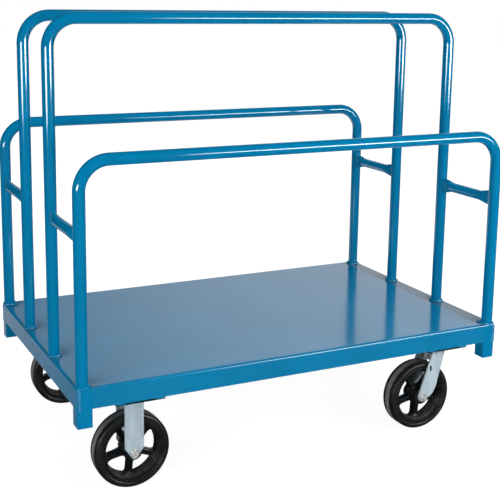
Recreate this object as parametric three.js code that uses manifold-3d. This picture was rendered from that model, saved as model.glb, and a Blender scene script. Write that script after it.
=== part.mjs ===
// Sheet goods cart: a folded steel deck on four casters, with four bent tube rails that hold panels on edge.
// Millimetres. +X runs along the length towards the swivel casters, +Y to the back and +Z up.
// The origin is on the floor under the middle of the deck.
import * as THREE from 'three';
import { mergeVertices } from 'three/addons/utils/BufferGeometryUtils.js';
import Module from 'manifold-3d';

const wasm = await Module();
wasm.setup();

// Fits
const seatGap = 0.3; // between pieces that touch, are welded or pass through each other
const runningGap = 0.5; // each side of a hub in its fork
const overrun = 1; // how far a cutter runs past what it cuts, or a joined piece into its neighbour

// Deck and corner legs
const deckLength = 1268;
const deckWidth = 780;
const deckSheet = 2.7;
const deckBend = 6; // outside radius of the folded edges
const skirtHeight = 55;
const legSize = 38;
const legWall = 3;
const legCorner = 4;
const legDrop = 48; // below the skirts
const stiffenerWidth = 64;

// Bent tube rails and the tubes that tie them
const railTube = 31.75;
const railWall = 2.1;
const railBend = 76; // on the centre line
const railInset = 17; // from the edges of the deck to the middle of a post
const lowRailRise = 555; // deck to the middle of the top tube
const tallRailRise = 878;
const slotPitch = 248; // across the deck, between neighbouring rails
const tieTube = 28.6;
const tieWall = 1.65;
const tieRise = 371;
const tieEnd = 7; // thickness of a pressed end
const tiePress = 46; // length over which an end is pressed flat

// Caster plates and bolts
const casterEndInset = 164; // from the ends of the deck to the middle of a caster plate
const casterSideInset = 87; // from the long sides of the deck to the middle of a caster plate
const bolsterLength = 131;
const bolsterThickness = 6.35;
const bolsterInset = 3; // behind the faces of the skirts
const casterHeight = 254; // floor to the top of a caster plate
const plateLength = 114;
const plateWidth = 102;
const plateThickness = 6.35;
const boltSpanX = 92;
const boltSpanY = 67;
const boltRadius = 4.75;
const boltHeadFlats = 14.3;
const boltHeadHeight = 6.4;
const boltProud = 3; // shank above the bolster

// Wheels
const wheelRadius = 101.6;
const tyreWidth = 50.8;
const tyreDepth = 22;
const treadWidth = 36;
const shoulder = 9; // drop from the tread to the side wall
const tyreBead = 4; // rise of the side wall from the rim's edge
const rimDepth = 9;
const rimWidth = 42;
const spokeCount = 5;
const spokeThickness = 15;
const spokeWidth = 26;
const spokeRoot = 3; // sunk into the rim and the hub at each end
const spokeStart = (265 * Math.PI) / 180; // the first spoke, seen from the front
const hubRadius = 24;
const hubLength = 61;
const bearingRadius = 15;
const axleRadius = 6.35;
const axleHeadFlats = 19;
const axleHeadHeight = 8;
const axleProud = 4; // thread past the nut

// Forks
const forkSheet = 5;
const rigidForkWidth = 52;
const rigidForkTaper = 13; // above the axle
const rigidTip = 10.5; // radius of the point
const rigidTipDrop = 6.3; // its centre below the axle
const swivelTrail = 46;
const swivelForkWidth = 42; // of a leg, at the crown
const swivelForkLead = 7; // middle of a leg's top, ahead of the kingpin
const swivelTip = 14; // radius round the axle
const swivelHeel = [-12, 12]; // corners of a leg, ahead of the axle and above it
const swivelChin = [34, 7];
const swivelToe = [45, 26];
const forkSlotWidth = 8;
const forkSlotHeight = 16;
const forkSlotAhead = 25; // its middle, ahead of the axle
const forkSlotRise = 85; // above the axle
const crownRadius = 45;
const crownThickness = 6;
const raceRadius = 38;
const raceWidth = 12;
const raceHeight = 7;
const kingpinRadius = 9;
const kingpinHeadRadius = 15;
const kingpinHead = 7;

// Sides of the round pieces
const tubeSides = 16;
const boreSides = 12;
const bendSteps = 4;
const wheelSides = 32; // a flat of the tyre lies on the floor
const discSides = 24;
const boltSides = 8;
const tipSteps = 8;
const bendFacets = 3;
const pressSteps = 3;
const shoulderSteps = 2;

// Levels and places that follow from the sizes
const axleHeight = wheelRadius * Math.cos(Math.PI / wheelSides);
const bolsterBottom = casterHeight + seatGap;
const bolsterTop = bolsterBottom + bolsterThickness;
const skirtBottom = bolsterTop + seatGap;
const deckTop = skirtBottom + skirtHeight;
const legBottom = skirtBottom - legDrop;
const plateBottom = casterHeight - plateThickness;
const crownTop = plateBottom - raceHeight - 2 * seatGap;
const crownBottom = crownTop - crownThickness;
const forkInside = hubLength / 2 + runningGap;
const forkOutside = forkInside + forkSheet;
const rimRadius = wheelRadius - tyreDepth;
const postX = deckLength / 2 - railInset;
const lowRailY = deckWidth / 2 - railInset;
const tallRailY = lowRailY - slotPitch;
const casterX = deckLength / 2 - casterEndInset;
const casterY = deckWidth / 2 - casterSideInset;

// Finishes
const bluePaint = { color: 0x0077ad, roughness: 0.3, metalness: 0.0 };
const zincPlate = { color: 0xb4c6d2, roughness: 0.4, metalness: 0.9 };
const castIron = { color: 0x1b1b1d, roughness: 0.5, metalness: 0.2 };
const blackRubber = { color: 0x1f1e1d, roughness: 0.85, metalness: 0.0 };
const bearingSteel = { color: 0x8f8a80, roughness: 0.35, metalness: 1.0 };

const cart = new THREE.Group();

function addPiece(name, geometry, finish) {
  const mesh = new THREE.Mesh(geometry, new THREE.MeshStandardMaterial(finish));
  mesh.name = name;
  cart.add(mesh);
}

// Booleans

function solidOf(geometry) {
  const bare = geometry.clone();
  bare.deleteAttribute('normal');
  bare.deleteAttribute('uv');
  const merged = mergeVertices(bare, 1e-4);
  return new wasm.Manifold(new wasm.Mesh({
    numProp: 3,
    vertProperties: new Float32Array(merged.attributes.position.array),
    triVerts: new Uint32Array(merged.index.array),
  }));
}

function geometryOf(solid) {
  const { vertProperties, triVerts } = solid.getMesh();
  const geometry = new THREE.BufferGeometry();
  geometry.setAttribute('position', new THREE.BufferAttribute(vertProperties, 3));
  geometry.setIndex(new THREE.BufferAttribute(triVerts, 1));
  return geometry;
}

function join(first, ...rest) {
  return rest.reduce((whole, part) => whole.add(part), first);
}

function cut(first, ...rest) {
  return rest.reduce((whole, part) => whole.subtract(part), first);
}

// Basic solids, each given by where it lies

function block(x0, x1, y0, y1, z0, z1) {
  const geometry = new THREE.BoxGeometry(x1 - x0, y1 - y0, z1 - z0);
  return solidOf(geometry.translate((x0 + x1) / 2, (y0 + y1) / 2, (z0 + z1) / 2));
}

function ringPoints(radius, sides) {
  const step = (2 * Math.PI) / sides;
  return Array.from({ length: sides }, (_, i) => (
    new THREE.Vector2(radius * Math.cos((i + 0.5) * step), radius * Math.sin((i + 0.5) * step))
  ));
}

function hexPoints(flats) {
  return ringPoints(flats / (2 * Math.cos(Math.PI / 6)), 6);
}

function extrude(points, depth) {
  return new THREE.ExtrudeGeometry(new THREE.Shape(points), { depth, bevelEnabled: false });
}

// A prism of an outline in X and Y that stands along Z.
function uprightPrism(points, x, y, z0, z1) {
  return solidOf(extrude(points, z1 - z0).translate(x, y, z0));
}

// A prism of an outline in X and Z that lies along Y.
function crossPrism(points, x, z, y0, y1) {
  return solidOf(extrude(points, y1 - y0).rotateX(Math.PI / 2).translate(x, y1, z));
}

// A prism of an outline in Y and Z that lies along X.
function lengthPrism(points, y, z, x0, x1) {
  const turned = extrude(points, x1 - x0).rotateX(Math.PI / 2).rotateZ(Math.PI / 2);
  return solidOf(turned.translate(x0, y, z));
}

// A turned body along Y, from points of radius and height on its axis.
function turnedAcross(profile, sides, x, y, z) {
  const points = profile.map(([radius, height]) => new THREE.Vector2(radius, height));
  const lathe = new THREE.LatheGeometry(points, sides, Math.PI / sides);
  return solidOf(lathe.translate(x, y, z));
}

function cornerArc(x, y, radius, start) {
  return Array.from({ length: bendFacets + 1 }, (_, i) => {
    const angle = start + (i * Math.PI) / 2 / bendFacets;
    return new THREE.Vector2(x + radius * Math.cos(angle), y + radius * Math.sin(angle));
  });
}

// A rectangle about the origin with four rounded corners.
function roundedSquare(size, radius) {
  const reach = size / 2 - radius;
  return [
    ...cornerArc(reach, reach, radius, 0),
    ...cornerArc(-reach, reach, radius, Math.PI / 2),
    ...cornerArc(-reach, -reach, radius, Math.PI),
    ...cornerArc(reach, -reach, radius, 1.5 * Math.PI),
  ];
}

// The section of a folded sheet: upright sides and a flat top with rounded edges.
function foldedSection(width, bottom, top, radius) {
  const reach = width / 2 - radius;
  return [
    new THREE.Vector2(-width / 2, bottom),
    new THREE.Vector2(width / 2, bottom),
    ...cornerArc(reach, top - radius, radius, 0),
    ...cornerArc(-reach, top - radius, radius, Math.PI / 2),
  ];
}

// Deck

// A body with upright sides and rounded top edges, inside the deck's faces by the given amount.
function deckEnvelope(inset, bottom) {
  const radius = deckBend - inset;
  const length = deckLength - 2 * inset;
  const width = deckWidth - 2 * inset;
  const top = deckTop - inset;
  const along = crossPrism(foldedSection(length, bottom, top, radius), 0, 0, -width / 2, width / 2);
  const across = lengthPrism(foldedSection(width, bottom, top, radius), 0, 0, -length / 2, length / 2);
  return along.intersect(across);
}

const cornerSigns = [
  [-1, -1, 'left_front'], [-1, 1, 'left_rear'], [1, -1, 'right_front'], [1, 1, 'right_rear'],
];

function makeDeck() {
  const notch = legSize + seatGap;
  const notches = cornerSigns.map(([sx, sy]) => {
    const x = [sx * (deckLength / 2 - notch), sx * (deckLength / 2 + overrun)].sort((a, b) => a - b);
    const y = [sy * (deckWidth / 2 - notch), sy * (deckWidth / 2 + overrun)].sort((a, b) => a - b);
    return block(...x, ...y, skirtBottom - overrun, deckTop + overrun);
  });
  const inside = deckEnvelope(deckSheet, skirtBottom - overrun);
  const pan = cut(deckEnvelope(0, skirtBottom), inside, ...notches);
  addPiece('deck_pan', geometryOf(pan), bluePaint);
}

// A square tube at each corner, closed at the top, whose outer faces are flush with the skirts.
function makeLegs() {
  const envelope = deckEnvelope(0, legBottom);
  const outline = roundedSquare(legSize, legCorner);
  const boreOutline = roundedSquare(legSize - 2 * legWall, legCorner - legWall);
  for (const [sx, sy, place] of cornerSigns) {
    const x = sx * (deckLength - legSize) / 2;
    const y = sy * (deckWidth - legSize) / 2;
    const outer = uprightPrism(outline, x, y, legBottom, deckTop);
    const bore = uprightPrism(boreOutline, x, y, legBottom - overrun, deckTop - legWall);
    addPiece(`corner_leg_${place}`, geometryOf(cut(outer.intersect(envelope), bore)), bluePaint);
  }
}

// A channel under the middle of the deck, between the bends of its ends, that stands on the bolsters.
function makeStiffener() {
  const top = deckTop - deckSheet - seatGap;
  const bottom = bolsterTop + seatGap;
  const halfLength = deckLength / 2 - deckBend - seatGap;
  const section = foldedSection(stiffenerWidth, bottom, top, deckBend);
  const insideWidth = stiffenerWidth - 2 * deckSheet;
  const inside = foldedSection(insideWidth, bottom - overrun, top - deckSheet, deckBend - deckSheet);
  const outer = lengthPrism(section, 0, 0, -halfLength, halfLength);
  const inner = lengthPrism(inside, 0, 0, -halfLength - overrun, halfLength + overrun);
  addPiece('deck_stiffener', geometryOf(cut(outer, inner)), bluePaint);
}

// Rails

// A line of points that is sampled at its own points.
class BentLine extends THREE.Curve {
  constructor(points) {
    super();
    this.points = points;
  }

  getUtoTmapping(u) {
    return u;
  }

  getPoint(t, target = new THREE.Vector3()) {
    const place = t * (this.points.length - 1);
    const first = Math.min(Math.floor(place), this.points.length - 2);
    return target.lerpVectors(this.points[first], this.points[first + 1], place - first);
  }
}

// The centre line of a rail: up one post, along the top and down the other post.
function railLine(y, rise) {
  const top = deckTop + rise;
  const bendX = postX - railBend;
  const bendZ = top - railBend;
  const points = [new THREE.Vector3(-postX, y, deckTop + seatGap)];
  for (const [side, start] of [[-1, Math.PI], [1, Math.PI / 2]]) {
    for (let i = 0; i <= bendSteps; i += 1) {
      const angle = start - (i * Math.PI) / 2 / bendSteps;
      const x = side * bendX + railBend * Math.cos(angle);
      points.push(new THREE.Vector3(x, y, bendZ + railBend * Math.sin(angle)));
    }
  }
  points.push(new THREE.Vector3(postX, y, deckTop + seatGap));
  return new BentLine(points);
}

const rails = [
  ['low_rail_front', -lowRailY, lowRailRise],
  ['tall_rail_front', -tallRailY, tallRailRise],
  ['tall_rail_rear', tallRailY, tallRailRise],
  ['low_rail_rear', lowRailY, lowRailRise],
];

function makeRails() {
  const section = new THREE.Shape(ringPoints(railTube / 2, tubeSides));
  section.holes.push(new THREE.Path(ringPoints(railTube / 2 - railWall, boreSides)));
  for (const [name, y, rise] of rails) {
    const line = railLine(y, rise);
    const options = { steps: line.points.length - 1, extrudePath: line, bevelEnabled: false };
    addPiece(name, new THREE.ExtrudeGeometry(section, options), bluePaint);
  }
}

// A ring of a tube that is pressed to a thickness: its outline keeps the length that the round tube has.
function pressedRing(middleDiameter, thickness, offset, y) {
  const flat = (Math.PI * (middleDiameter - thickness)) / 2;
  const step = (2 * Math.PI) / boreSides;
  const radius = thickness / 2 + offset;
  return Array.from({ length: boreSides }, (_, i) => {
    const angle = (i + 0.5) * step;
    const lift = (Math.sign(Math.sin(angle)) * flat) / 2;
    return new THREE.Vector3(radius * Math.cos(angle), y, radius * Math.sin(angle) + lift);
  });
}

// A closed skin over rings of equal count, in order along +Y, with the matching bore.
function tubeSkin(outerRings, innerRings) {
  const count = outerRings[0].length;
  const rows = [...outerRings, ...[...innerRings].reverse()];
  const position = rows.flat().flatMap((point) => [point.x, point.y, point.z]);
  const index = [];
  for (let row = 0; row < rows.length; row += 1) {
    const next = (row + 1) % rows.length;
    for (let i = 0; i < count; i += 1) {
      const j = (i + 1) % count;
      index.push(row * count + i, next * count + i, next * count + j);
      index.push(row * count + i, next * count + j, row * count + j);
    }
  }
  const geometry = new THREE.BufferGeometry();
  geometry.setAttribute('position', new THREE.Float32BufferAttribute(position, 3));
  geometry.setIndex(index);
  return geometry;
}

// A round tube with both ends pressed flat, from a low post to the tall post beside it.
function makeTies() {
  const middle = tieTube - tieWall;
  const near = tallRailY + railTube / 2 + seatGap;
  const far = lowRailY - railTube / 2 - seatGap;
  const pressed = Array.from({ length: pressSteps + 1 }, (_, i) => {
    const swell = (1 - Math.cos((i * Math.PI) / pressSteps)) / 2;
    return [(i * tiePress) / pressSteps, tieEnd + swell * (tieTube - tieEnd)];
  });
  const stations = [
    ...pressed.map(([along, thickness]) => [near + along, thickness]),
    ...[...pressed].reverse().map(([along, thickness]) => [far - along, thickness]),
  ];
  const skin = tubeSkin(
    stations.map(([y, thickness]) => pressedRing(middle, thickness - tieWall, tieWall / 2, y)),
    stations.map(([y, thickness]) => pressedRing(middle, thickness - tieWall, -tieWall / 2, y)),
  );
  for (const [sx, sy, place] of cornerSigns) {
    const tie = skin.clone();
    if (sy < 0) {
      tie.rotateZ(Math.PI);
    }
    addPiece(`tie_tube_${place}`, tie.translate(sx * postX, 0, deckTop + tieRise), bluePaint);
  }
}

// Casters

function boltPlaces(x, y) {
  return cornerSigns.map(([sx, sy, place]) => [x + (sx * boltSpanX) / 2, y + (sy * boltSpanY) / 2, place]);
}

function boltHoles(x, y, z0, z1) {
  const outline = ringPoints(boltRadius + seatGap, boltSides);
  return boltPlaces(x, y).map(([bx, by]) => uprightPrism(outline, bx, by, z0 - overrun, z1 + overrun));
}

const casters = cornerSigns.map(([sx, sy, place]) => ({
  place,
  swivels: sx > 0,
  x: sx * casterX,
  y: sy * casterY,
  axleX: sx * casterX - (sx > 0 ? swivelTrail : 0),
}));

// A flat plate across the cart, under the skirts, that a front and a rear caster are bolted to.
function makeBolsters() {
  const reach = deckWidth / 2 - bolsterInset;
  for (const [side, name] of [[-1, 'bolster_plate_left'], [1, 'bolster_plate_right']]) {
    const x = side * casterX;
    const plate = block(
      x - bolsterLength / 2, x + bolsterLength / 2, -reach, reach, bolsterBottom, bolsterTop,
    );
    const holes = [-1, 1].flatMap((sy) => boltHoles(x, sy * casterY, bolsterBottom, bolsterTop));
    addPiece(name, geometryOf(cut(plate, ...holes)), bluePaint);
  }
}

function casterPlate(x, y) {
  const [halfX, halfY] = [plateLength / 2, plateWidth / 2];
  const plate = block(x - halfX, x + halfX, y - halfY, y + halfY, plateBottom, casterHeight);
  return cut(plate, ...boltHoles(x, y, plateBottom, casterHeight));
}

// The four bolts of a caster: heads under its plate and shanks through the tapped bolster.
function makeMountingBolts({ place, x, y }) {
  const headTop = plateBottom - seatGap;
  for (const [bx, by, corner] of boltPlaces(x, y)) {
    const head = uprightPrism(hexPoints(boltHeadFlats), bx, by, headTop - boltHeadHeight, headTop);
    const top = bolsterTop + boltProud;
    const shank = uprightPrism(ringPoints(boltRadius, boltSides), bx, by, headTop - overrun, top);
    addPiece(`plate_bolt_${place}_${corner}`, geometryOf(join(head, shank)), zincPlate);
  }
}

// A bore through both legs of a fork.
function axleHole(x, y) {
  const reach = forkOutside + overrun;
  return crossPrism(ringPoints(axleRadius + seatGap, boreSides), x, axleHeight, y - reach, y + reach);
}

// The outline of a fork leg in X and Z, about its axle: down its left corners, round its tip and up its right ones.
function legOutline(left, right, radius, drop) {
  const touch = ([x, z], side) => {
    const far = Math.hypot(x, z + drop);
    return Math.atan2(z + drop, x) + side * Math.acos(radius / far);
  };
  const start = touch(left[left.length - 1], 1);
  const end = touch(right[0], -1) + 2 * Math.PI;
  const tip = Array.from({ length: tipSteps + 1 }, (_, i) => {
    const angle = start + ((end - start) * i) / tipSteps;
    return [radius * Math.cos(angle), radius * Math.sin(angle) - drop];
  });
  return [...left, ...tip, ...right].map(([x, z]) => new THREE.Vector2(x, z));
}

function forkLegs(outline, axleX, y) {
  return [-1, 1].map((side) => {
    const [y0, y1] = [side * forkInside, side * forkOutside].sort((a, b) => a - b);
    return crossPrism(outline, axleX, axleHeight, y + y0, y + y1);
  });
}

// A plate with two straight legs that come to a rounded point under the axle.
function makeRigidFork({ place, x, y }) {
  const half = rigidForkWidth / 2;
  const rise = plateBottom + overrun - axleHeight;
  const left = [[-half, rise], [-half, rigidForkTaper]];
  const right = [[half, rigidForkTaper], [half, rise]];
  const outline = legOutline(left, right, rigidTip, rigidTipDrop);
  const fork = join(casterPlate(x, y), ...forkLegs(outline, x, y));
  addPiece(`rigid_fork_${place}`, geometryOf(cut(fork, axleHole(x, y))), zincPlate);
}

// The fixed plate of a swivel caster with its kingpin, whose head holds the crown of the fork.
function makeSwivelPlate({ place, x, y }) {
  const headTop = crownBottom - seatGap;
  const outline = (radius) => ringPoints(radius, tubeSides);
  const pin = uprightPrism(outline(kingpinRadius), x, y, headTop - overrun, plateBottom + overrun);
  const head = uprightPrism(outline(kingpinHeadRadius), x, y, headTop - kingpinHead, headTop);
  addPiece(`swivel_plate_${place}`, geometryOf(join(casterPlate(x, y), pin, head)), zincPlate);
}

// The ring of balls between the plate and the crown.
function makeBallRace({ place, x, y }) {
  const bottom = crownTop + seatGap;
  const top = bottom + raceHeight;
  const outline = (radius) => ringPoints(radius, discSides);
  const outer = uprightPrism(outline(raceRadius + raceWidth / 2), x, y, bottom, top);
  const inner = uprightPrism(outline(raceRadius - raceWidth / 2), x, y, bottom - overrun, top + overrun);
  addPiece(`ball_race_${place}`, geometryOf(cut(outer, inner)), bearingSteel);
}

// A round crown with two raked legs that carry the axle behind the kingpin.
function makeSwivelFork({ place, x, y, axleX }) {
  const rise = crownTop - axleHeight;
  const middle = x - axleX + swivelForkLead;
  const left = [[middle - swivelForkWidth / 2, rise], swivelHeel];
  const right = [swivelChin, swivelToe, [middle + swivelForkWidth / 2, rise]];
  const outline = legOutline(left, right, swivelTip, 0);
  const crown = uprightPrism(ringPoints(crownRadius, discSides), x, y, crownBottom, crownTop);
  const pinOutline = ringPoints(kingpinRadius + seatGap, tubeSides);
  const pinHole = uprightPrism(pinOutline, x, y, crownBottom - overrun, crownTop + overrun);
  const [slotX, slotZ] = [axleX + forkSlotAhead, axleHeight + forkSlotRise];
  const slot = block(
    slotX - forkSlotWidth / 2, slotX + forkSlotWidth / 2,
    y - forkOutside - overrun, y + forkOutside + overrun,
    slotZ - forkSlotHeight / 2, slotZ + forkSlotHeight / 2,
  );
  const fork = cut(join(crown, ...forkLegs(outline, axleX, y)), pinHole, slot, axleHole(axleX, y));
  addPiece(`swivel_fork_${place}`, geometryOf(fork), zincPlate);
}

// An axle bolt and its nut. The head faces out on a rigid caster, and the nut on a swivel one.
function makeAxle({ place, swivels, axleX, y }) {
  const outward = swivels ? -Math.sign(y) : Math.sign(y);
  const span = (a, b) => [y + outward * a, y + outward * b].sort((p, q) => p - q);
  const seat = forkOutside + seatGap;
  const tail = -(seat + axleHeadHeight + axleProud);
  const prism = (outline, from, to) => crossPrism(outline, axleX, axleHeight, ...span(from, to));
  const head = prism(hexPoints(axleHeadFlats), seat, seat + axleHeadHeight);
  const shank = prism(ringPoints(axleRadius, boreSides), tail, seat + overrun);
  addPiece(`axle_bolt_${place}`, geometryOf(join(head, shank)), zincPlate);
  const nut = prism(hexPoints(axleHeadFlats), -seat - axleHeadHeight, -seat);
  const thread = prism(ringPoints(axleRadius + seatGap, boreSides), tail - overrun, 0);
  addPiece(`axle_nut_${place}`, geometryOf(cut(nut, thread)), zincPlate);
}

// A closed ring of revolution along Y about an axle, from its half section.
function ringProfile(inner, outer, halfWidth) {
  const start = [inner, -halfWidth];
  return [start, [outer, -halfWidth], [outer, halfWidth], [inner, halfWidth], start];
}

// Half of a tyre's section, from the edge of the rim round the shoulder to the tread.
function tyreEdge() {
  const side = tyreWidth / 2;
  const tread = treadWidth / 2;
  const edge = [[rimRadius, rimWidth / 2], [rimRadius + tyreBead, side]];
  for (let i = 0; i <= shoulderSteps; i += 1) {
    const angle = (i * Math.PI) / 2 / shoulderSteps;
    const radius = wheelRadius - shoulder * (1 - Math.sin(angle));
    edge.push([radius, tread + (side - tread) * Math.cos(angle)]);
  }
  return edge;
}

function makeWheel({ place, axleX, y }) {
  const turned = (profile, sides) => turnedAcross(profile, sides, axleX, y, axleHeight);
  const edge = tyreEdge();
  const otherEdge = edge.map(([radius, height]) => [radius, -height]);
  const tyre = turned([...otherEdge, ...[...edge].reverse(), otherEdge[0]], wheelSides);
  addPiece(`tyre_${place}`, geometryOf(tyre), blackRubber);

  const rimOutside = rimRadius - seatGap;
  const rimInside = rimOutside - rimDepth;
  const rim = turned(ringProfile(rimInside, rimOutside, rimWidth / 2), wheelSides);
  const boss = turned(ringProfile(bearingRadius + seatGap, hubRadius, hubLength / 2), tubeSides);
  const armLength = rimInside - hubRadius + 2 * spokeRoot;
  const spokes = Array.from({ length: spokeCount }, (_, i) => {
    const arm = new THREE.BoxGeometry(armLength, spokeWidth, spokeThickness);
    arm.translate((rimInside + hubRadius) / 2, 0, 0).rotateY(-spokeStart - (i * 2 * Math.PI) / spokeCount);
    return solidOf(arm.translate(axleX, y, axleHeight));
  });
  addPiece(`wheel_core_${place}`, geometryOf(join(rim, boss, ...spokes)), castIron);

  const sleeve = turned(ringProfile(axleRadius + seatGap, bearingRadius, hubLength / 2), tubeSides);
  addPiece(`roller_bearing_${place}`, geometryOf(sleeve), bearingSteel);
}

makeDeck();
makeLegs();
makeStiffener();
makeBolsters();
makeRails();
makeTies();
for (const caster of casters) {
  makeMountingBolts(caster);
  if (caster.swivels) {
    makeSwivelPlate(caster);
    makeBallRace(caster);
    makeSwivelFork(caster);
  } else {
    makeRigidFork(caster);
  }
  makeAxle(caster);
  makeWheel(caster);
}

export default cart;
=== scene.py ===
# %% [markdown]
# # A sheet goods cart
# The cart carries panels on edge: a folded steel deck on four casters, with bent tube rails along its length.
# Its construction is fixed already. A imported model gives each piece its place, its size and its moving body.
# This lesson loads that model as a frame and builds the looks around it, one piece or finish at a time.

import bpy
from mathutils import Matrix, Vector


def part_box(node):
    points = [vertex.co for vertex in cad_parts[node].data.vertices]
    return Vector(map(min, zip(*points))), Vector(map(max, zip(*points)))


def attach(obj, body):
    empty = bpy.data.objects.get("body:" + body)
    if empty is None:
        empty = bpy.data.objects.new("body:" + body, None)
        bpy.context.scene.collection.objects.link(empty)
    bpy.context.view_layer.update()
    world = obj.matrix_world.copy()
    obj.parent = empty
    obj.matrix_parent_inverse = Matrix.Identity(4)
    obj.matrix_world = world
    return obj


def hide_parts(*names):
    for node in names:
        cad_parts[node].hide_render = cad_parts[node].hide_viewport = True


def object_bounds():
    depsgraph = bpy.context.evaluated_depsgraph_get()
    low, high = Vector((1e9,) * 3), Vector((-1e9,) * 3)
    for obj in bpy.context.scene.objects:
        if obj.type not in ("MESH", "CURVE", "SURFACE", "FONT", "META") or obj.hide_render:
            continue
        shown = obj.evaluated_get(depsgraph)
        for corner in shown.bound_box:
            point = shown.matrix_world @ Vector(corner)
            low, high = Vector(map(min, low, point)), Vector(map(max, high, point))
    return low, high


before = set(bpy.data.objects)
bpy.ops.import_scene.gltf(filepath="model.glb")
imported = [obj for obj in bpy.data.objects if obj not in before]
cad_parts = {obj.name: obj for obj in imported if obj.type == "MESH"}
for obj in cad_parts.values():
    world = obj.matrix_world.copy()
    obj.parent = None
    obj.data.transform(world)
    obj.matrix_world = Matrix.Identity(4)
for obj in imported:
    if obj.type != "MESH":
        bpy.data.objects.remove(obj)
cad_box = [list(corner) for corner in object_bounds()]

import math

import bmesh
import bpy
import numpy as np
from mathutils import Matrix, Vector, noise

MM = 0.001

# %% [markdown]
# ## Camera
# The photograph looks down on the front left corner. Its angle, distance and lens were fitted to the posts, rails,
# deck edges and wheels. A real lens was aimed a little above the cart, so the frame is shifted down, because
# tilting the camera instead would make the posts lean.

# %% Set the camera
PHOTO_SIDE = 500  # pixels along each side of the photograph
FOCAL_LENGTH = 1026.4  # in the same pixels
AXIS_ROW = 185  # the row of the photograph that the lens points at
SENSOR = 36
CAMERA_PLACE = Vector((-1.3054, -2.6653, 1.2600))
CAMERA_AZIMUTH = math.radians(26.37)
CAMERA_PITCH = math.radians(10.57)
CAMERA_ROLL = math.radians(0.82)

forward = Vector((
    math.sin(CAMERA_AZIMUTH) * math.cos(CAMERA_PITCH),
    math.cos(CAMERA_AZIMUTH) * math.cos(CAMERA_PITCH),
    -math.sin(CAMERA_PITCH),
))
level_right = Vector((math.cos(CAMERA_AZIMUTH), -math.sin(CAMERA_AZIMUTH), 0))
level_up = level_right.cross(forward)
right = level_right * math.cos(CAMERA_ROLL) + level_up * math.sin(CAMERA_ROLL)
up = level_up * math.cos(CAMERA_ROLL) - level_right * math.sin(CAMERA_ROLL)

camera_data = bpy.data.cameras.new("photo_camera")
camera_data.sensor_width = SENSOR
camera_data.lens = FOCAL_LENGTH / PHOTO_SIDE * SENSOR
camera_data.shift_y = (AXIS_ROW - PHOTO_SIDE / 2) / PHOTO_SIDE
camera = bpy.data.objects.new("photo_camera", camera_data)
turn = Matrix((right, up, -forward)).transposed().to_4x4()
camera.matrix_world = Matrix.Translation(CAMERA_PLACE) @ turn
bpy.context.scene.collection.objects.link(camera)
bpy.context.scene.camera = camera
print("lens", round(camera_data.lens, 2), "mm, shift", camera_data.shift_y)

# %% [markdown]
# ## Node helper
# Finishes, the floor and the repeating pieces are all node trees. One helper adds a node, sets it and links it,
# so that each tree below reads as a list of what it does.

# %% A helper for node trees


def add_node(tree, kind, inputs=None, **settings):
    """A node with its settings and inputs, where an input that is a socket is linked."""
    made = tree.nodes.new(kind)
    for key, value in settings.items():
        setattr(made, key, value)
    for key, value in (inputs or {}).items():
        if isinstance(value, bpy.types.NodeSocket):
            tree.links.new(value, made.inputs[key])
        else:
            made.inputs[key].default_value = value
    return made


def work_out(tree, operation, *values):
    """The result of one arithmetic node."""
    return add_node(tree, "ShaderNodeMath", dict(enumerate(values)), operation=operation).outputs[0]


def rescale(tree, value, low, high, to_low=0.0, to_high=1.0):
    """A value between two levels, stretched to two others and held there."""
    inputs = {"Value": value, "From Min": low, "From Max": high, "To Min": to_low, "To Max": to_high}
    return add_node(tree, "ShaderNodeMapRange", inputs).outputs["Result"]


# %% [markdown]
# ## Studio
# A cut-out catalogue picture has a white ground. Here the floor and the sky are white where the camera looks at them,
# so the ground is white without more light on the cart. What gloss paint mirrors is another matter: a studio has a
# lit patch of backdrop and floor behind the object and is dim elsewhere, so reflections see that patch, and the two
# large softboxes whose white lines run along the rails in the photograph.

# %% Set the sky, the floor and the lamps
SKY_LIGHT = 0.05  # what the sky gives to matt surfaces
MIRROR_DIM = 0.004  # what reflections find where nothing is lit
BACKDROP_AIM = Vector((0.58, 0.79, 0.24)).normalized()  # towards the lit patch
BACKDROP_EDGE, BACKDROP_MIDDLE = 0.870, 0.998  # cosines of the angle from its middle
POOL = Vector((0.6, 2.2, 0))  # middle of the lit floor in front of the backdrop
POOL_CORE, POOL_EDGE = 0.6, 2.8  # distances from there at which it is bright and dim
LIT_LEVEL = 0.80
FLOOR_SIDE = 60.0
FLOOR_GAP = 0.0003
FLOOR_MATT = 0.24
FLOOR_NEAR, FLOOR_FAR = 1.5, 5.0  # distances over which the seen floor turns fully white
FLOOR_GLOW, FAR_GLOW = 0.915, 1.0
FLOOR_BOUNCE = 0.8
SHADE_EDGE = 0.12  # how far beside the cart its shade on the floor ends


def looks_straight(tree):
    """One for the rays of a camera and for rays through a clear piece."""
    path = add_node(tree, "ShaderNodeLightPath").outputs
    return work_out(tree, "MAXIMUM", path["Is Camera Ray"], path["Is Transmission Ray"])


def looks_mirrored(tree):
    return add_node(tree, "ShaderNodeLightPath").outputs["Is Glossy Ray"]


def make_sky():
    world = bpy.data.worlds.new("studio")
    world.use_nodes = True
    tree = world.node_tree
    direction = add_node(tree, "ShaderNodeTexCoord").outputs["Generated"]
    towards = add_node(tree, "ShaderNodeVectorMath", {0: direction, 1: BACKDROP_AIM}, operation="DOT_PRODUCT")
    patch = rescale(tree, towards.outputs["Value"], BACKDROP_EDGE, BACKDROP_MIDDLE, MIRROR_DIM, LIT_LEVEL)
    level = add_node(tree, "ShaderNodeMix", {0: looks_mirrored(tree), 2: SKY_LIGHT, 3: patch}).outputs[0]
    shown = tree.nodes["Background"]
    shown.inputs["Color"].default_value = (1, 1, 1, 1)
    tree.links.new(work_out(tree, "MAXIMUM", looks_straight(tree), level), shown.inputs["Strength"])
    bpy.context.scene.world = world


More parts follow.
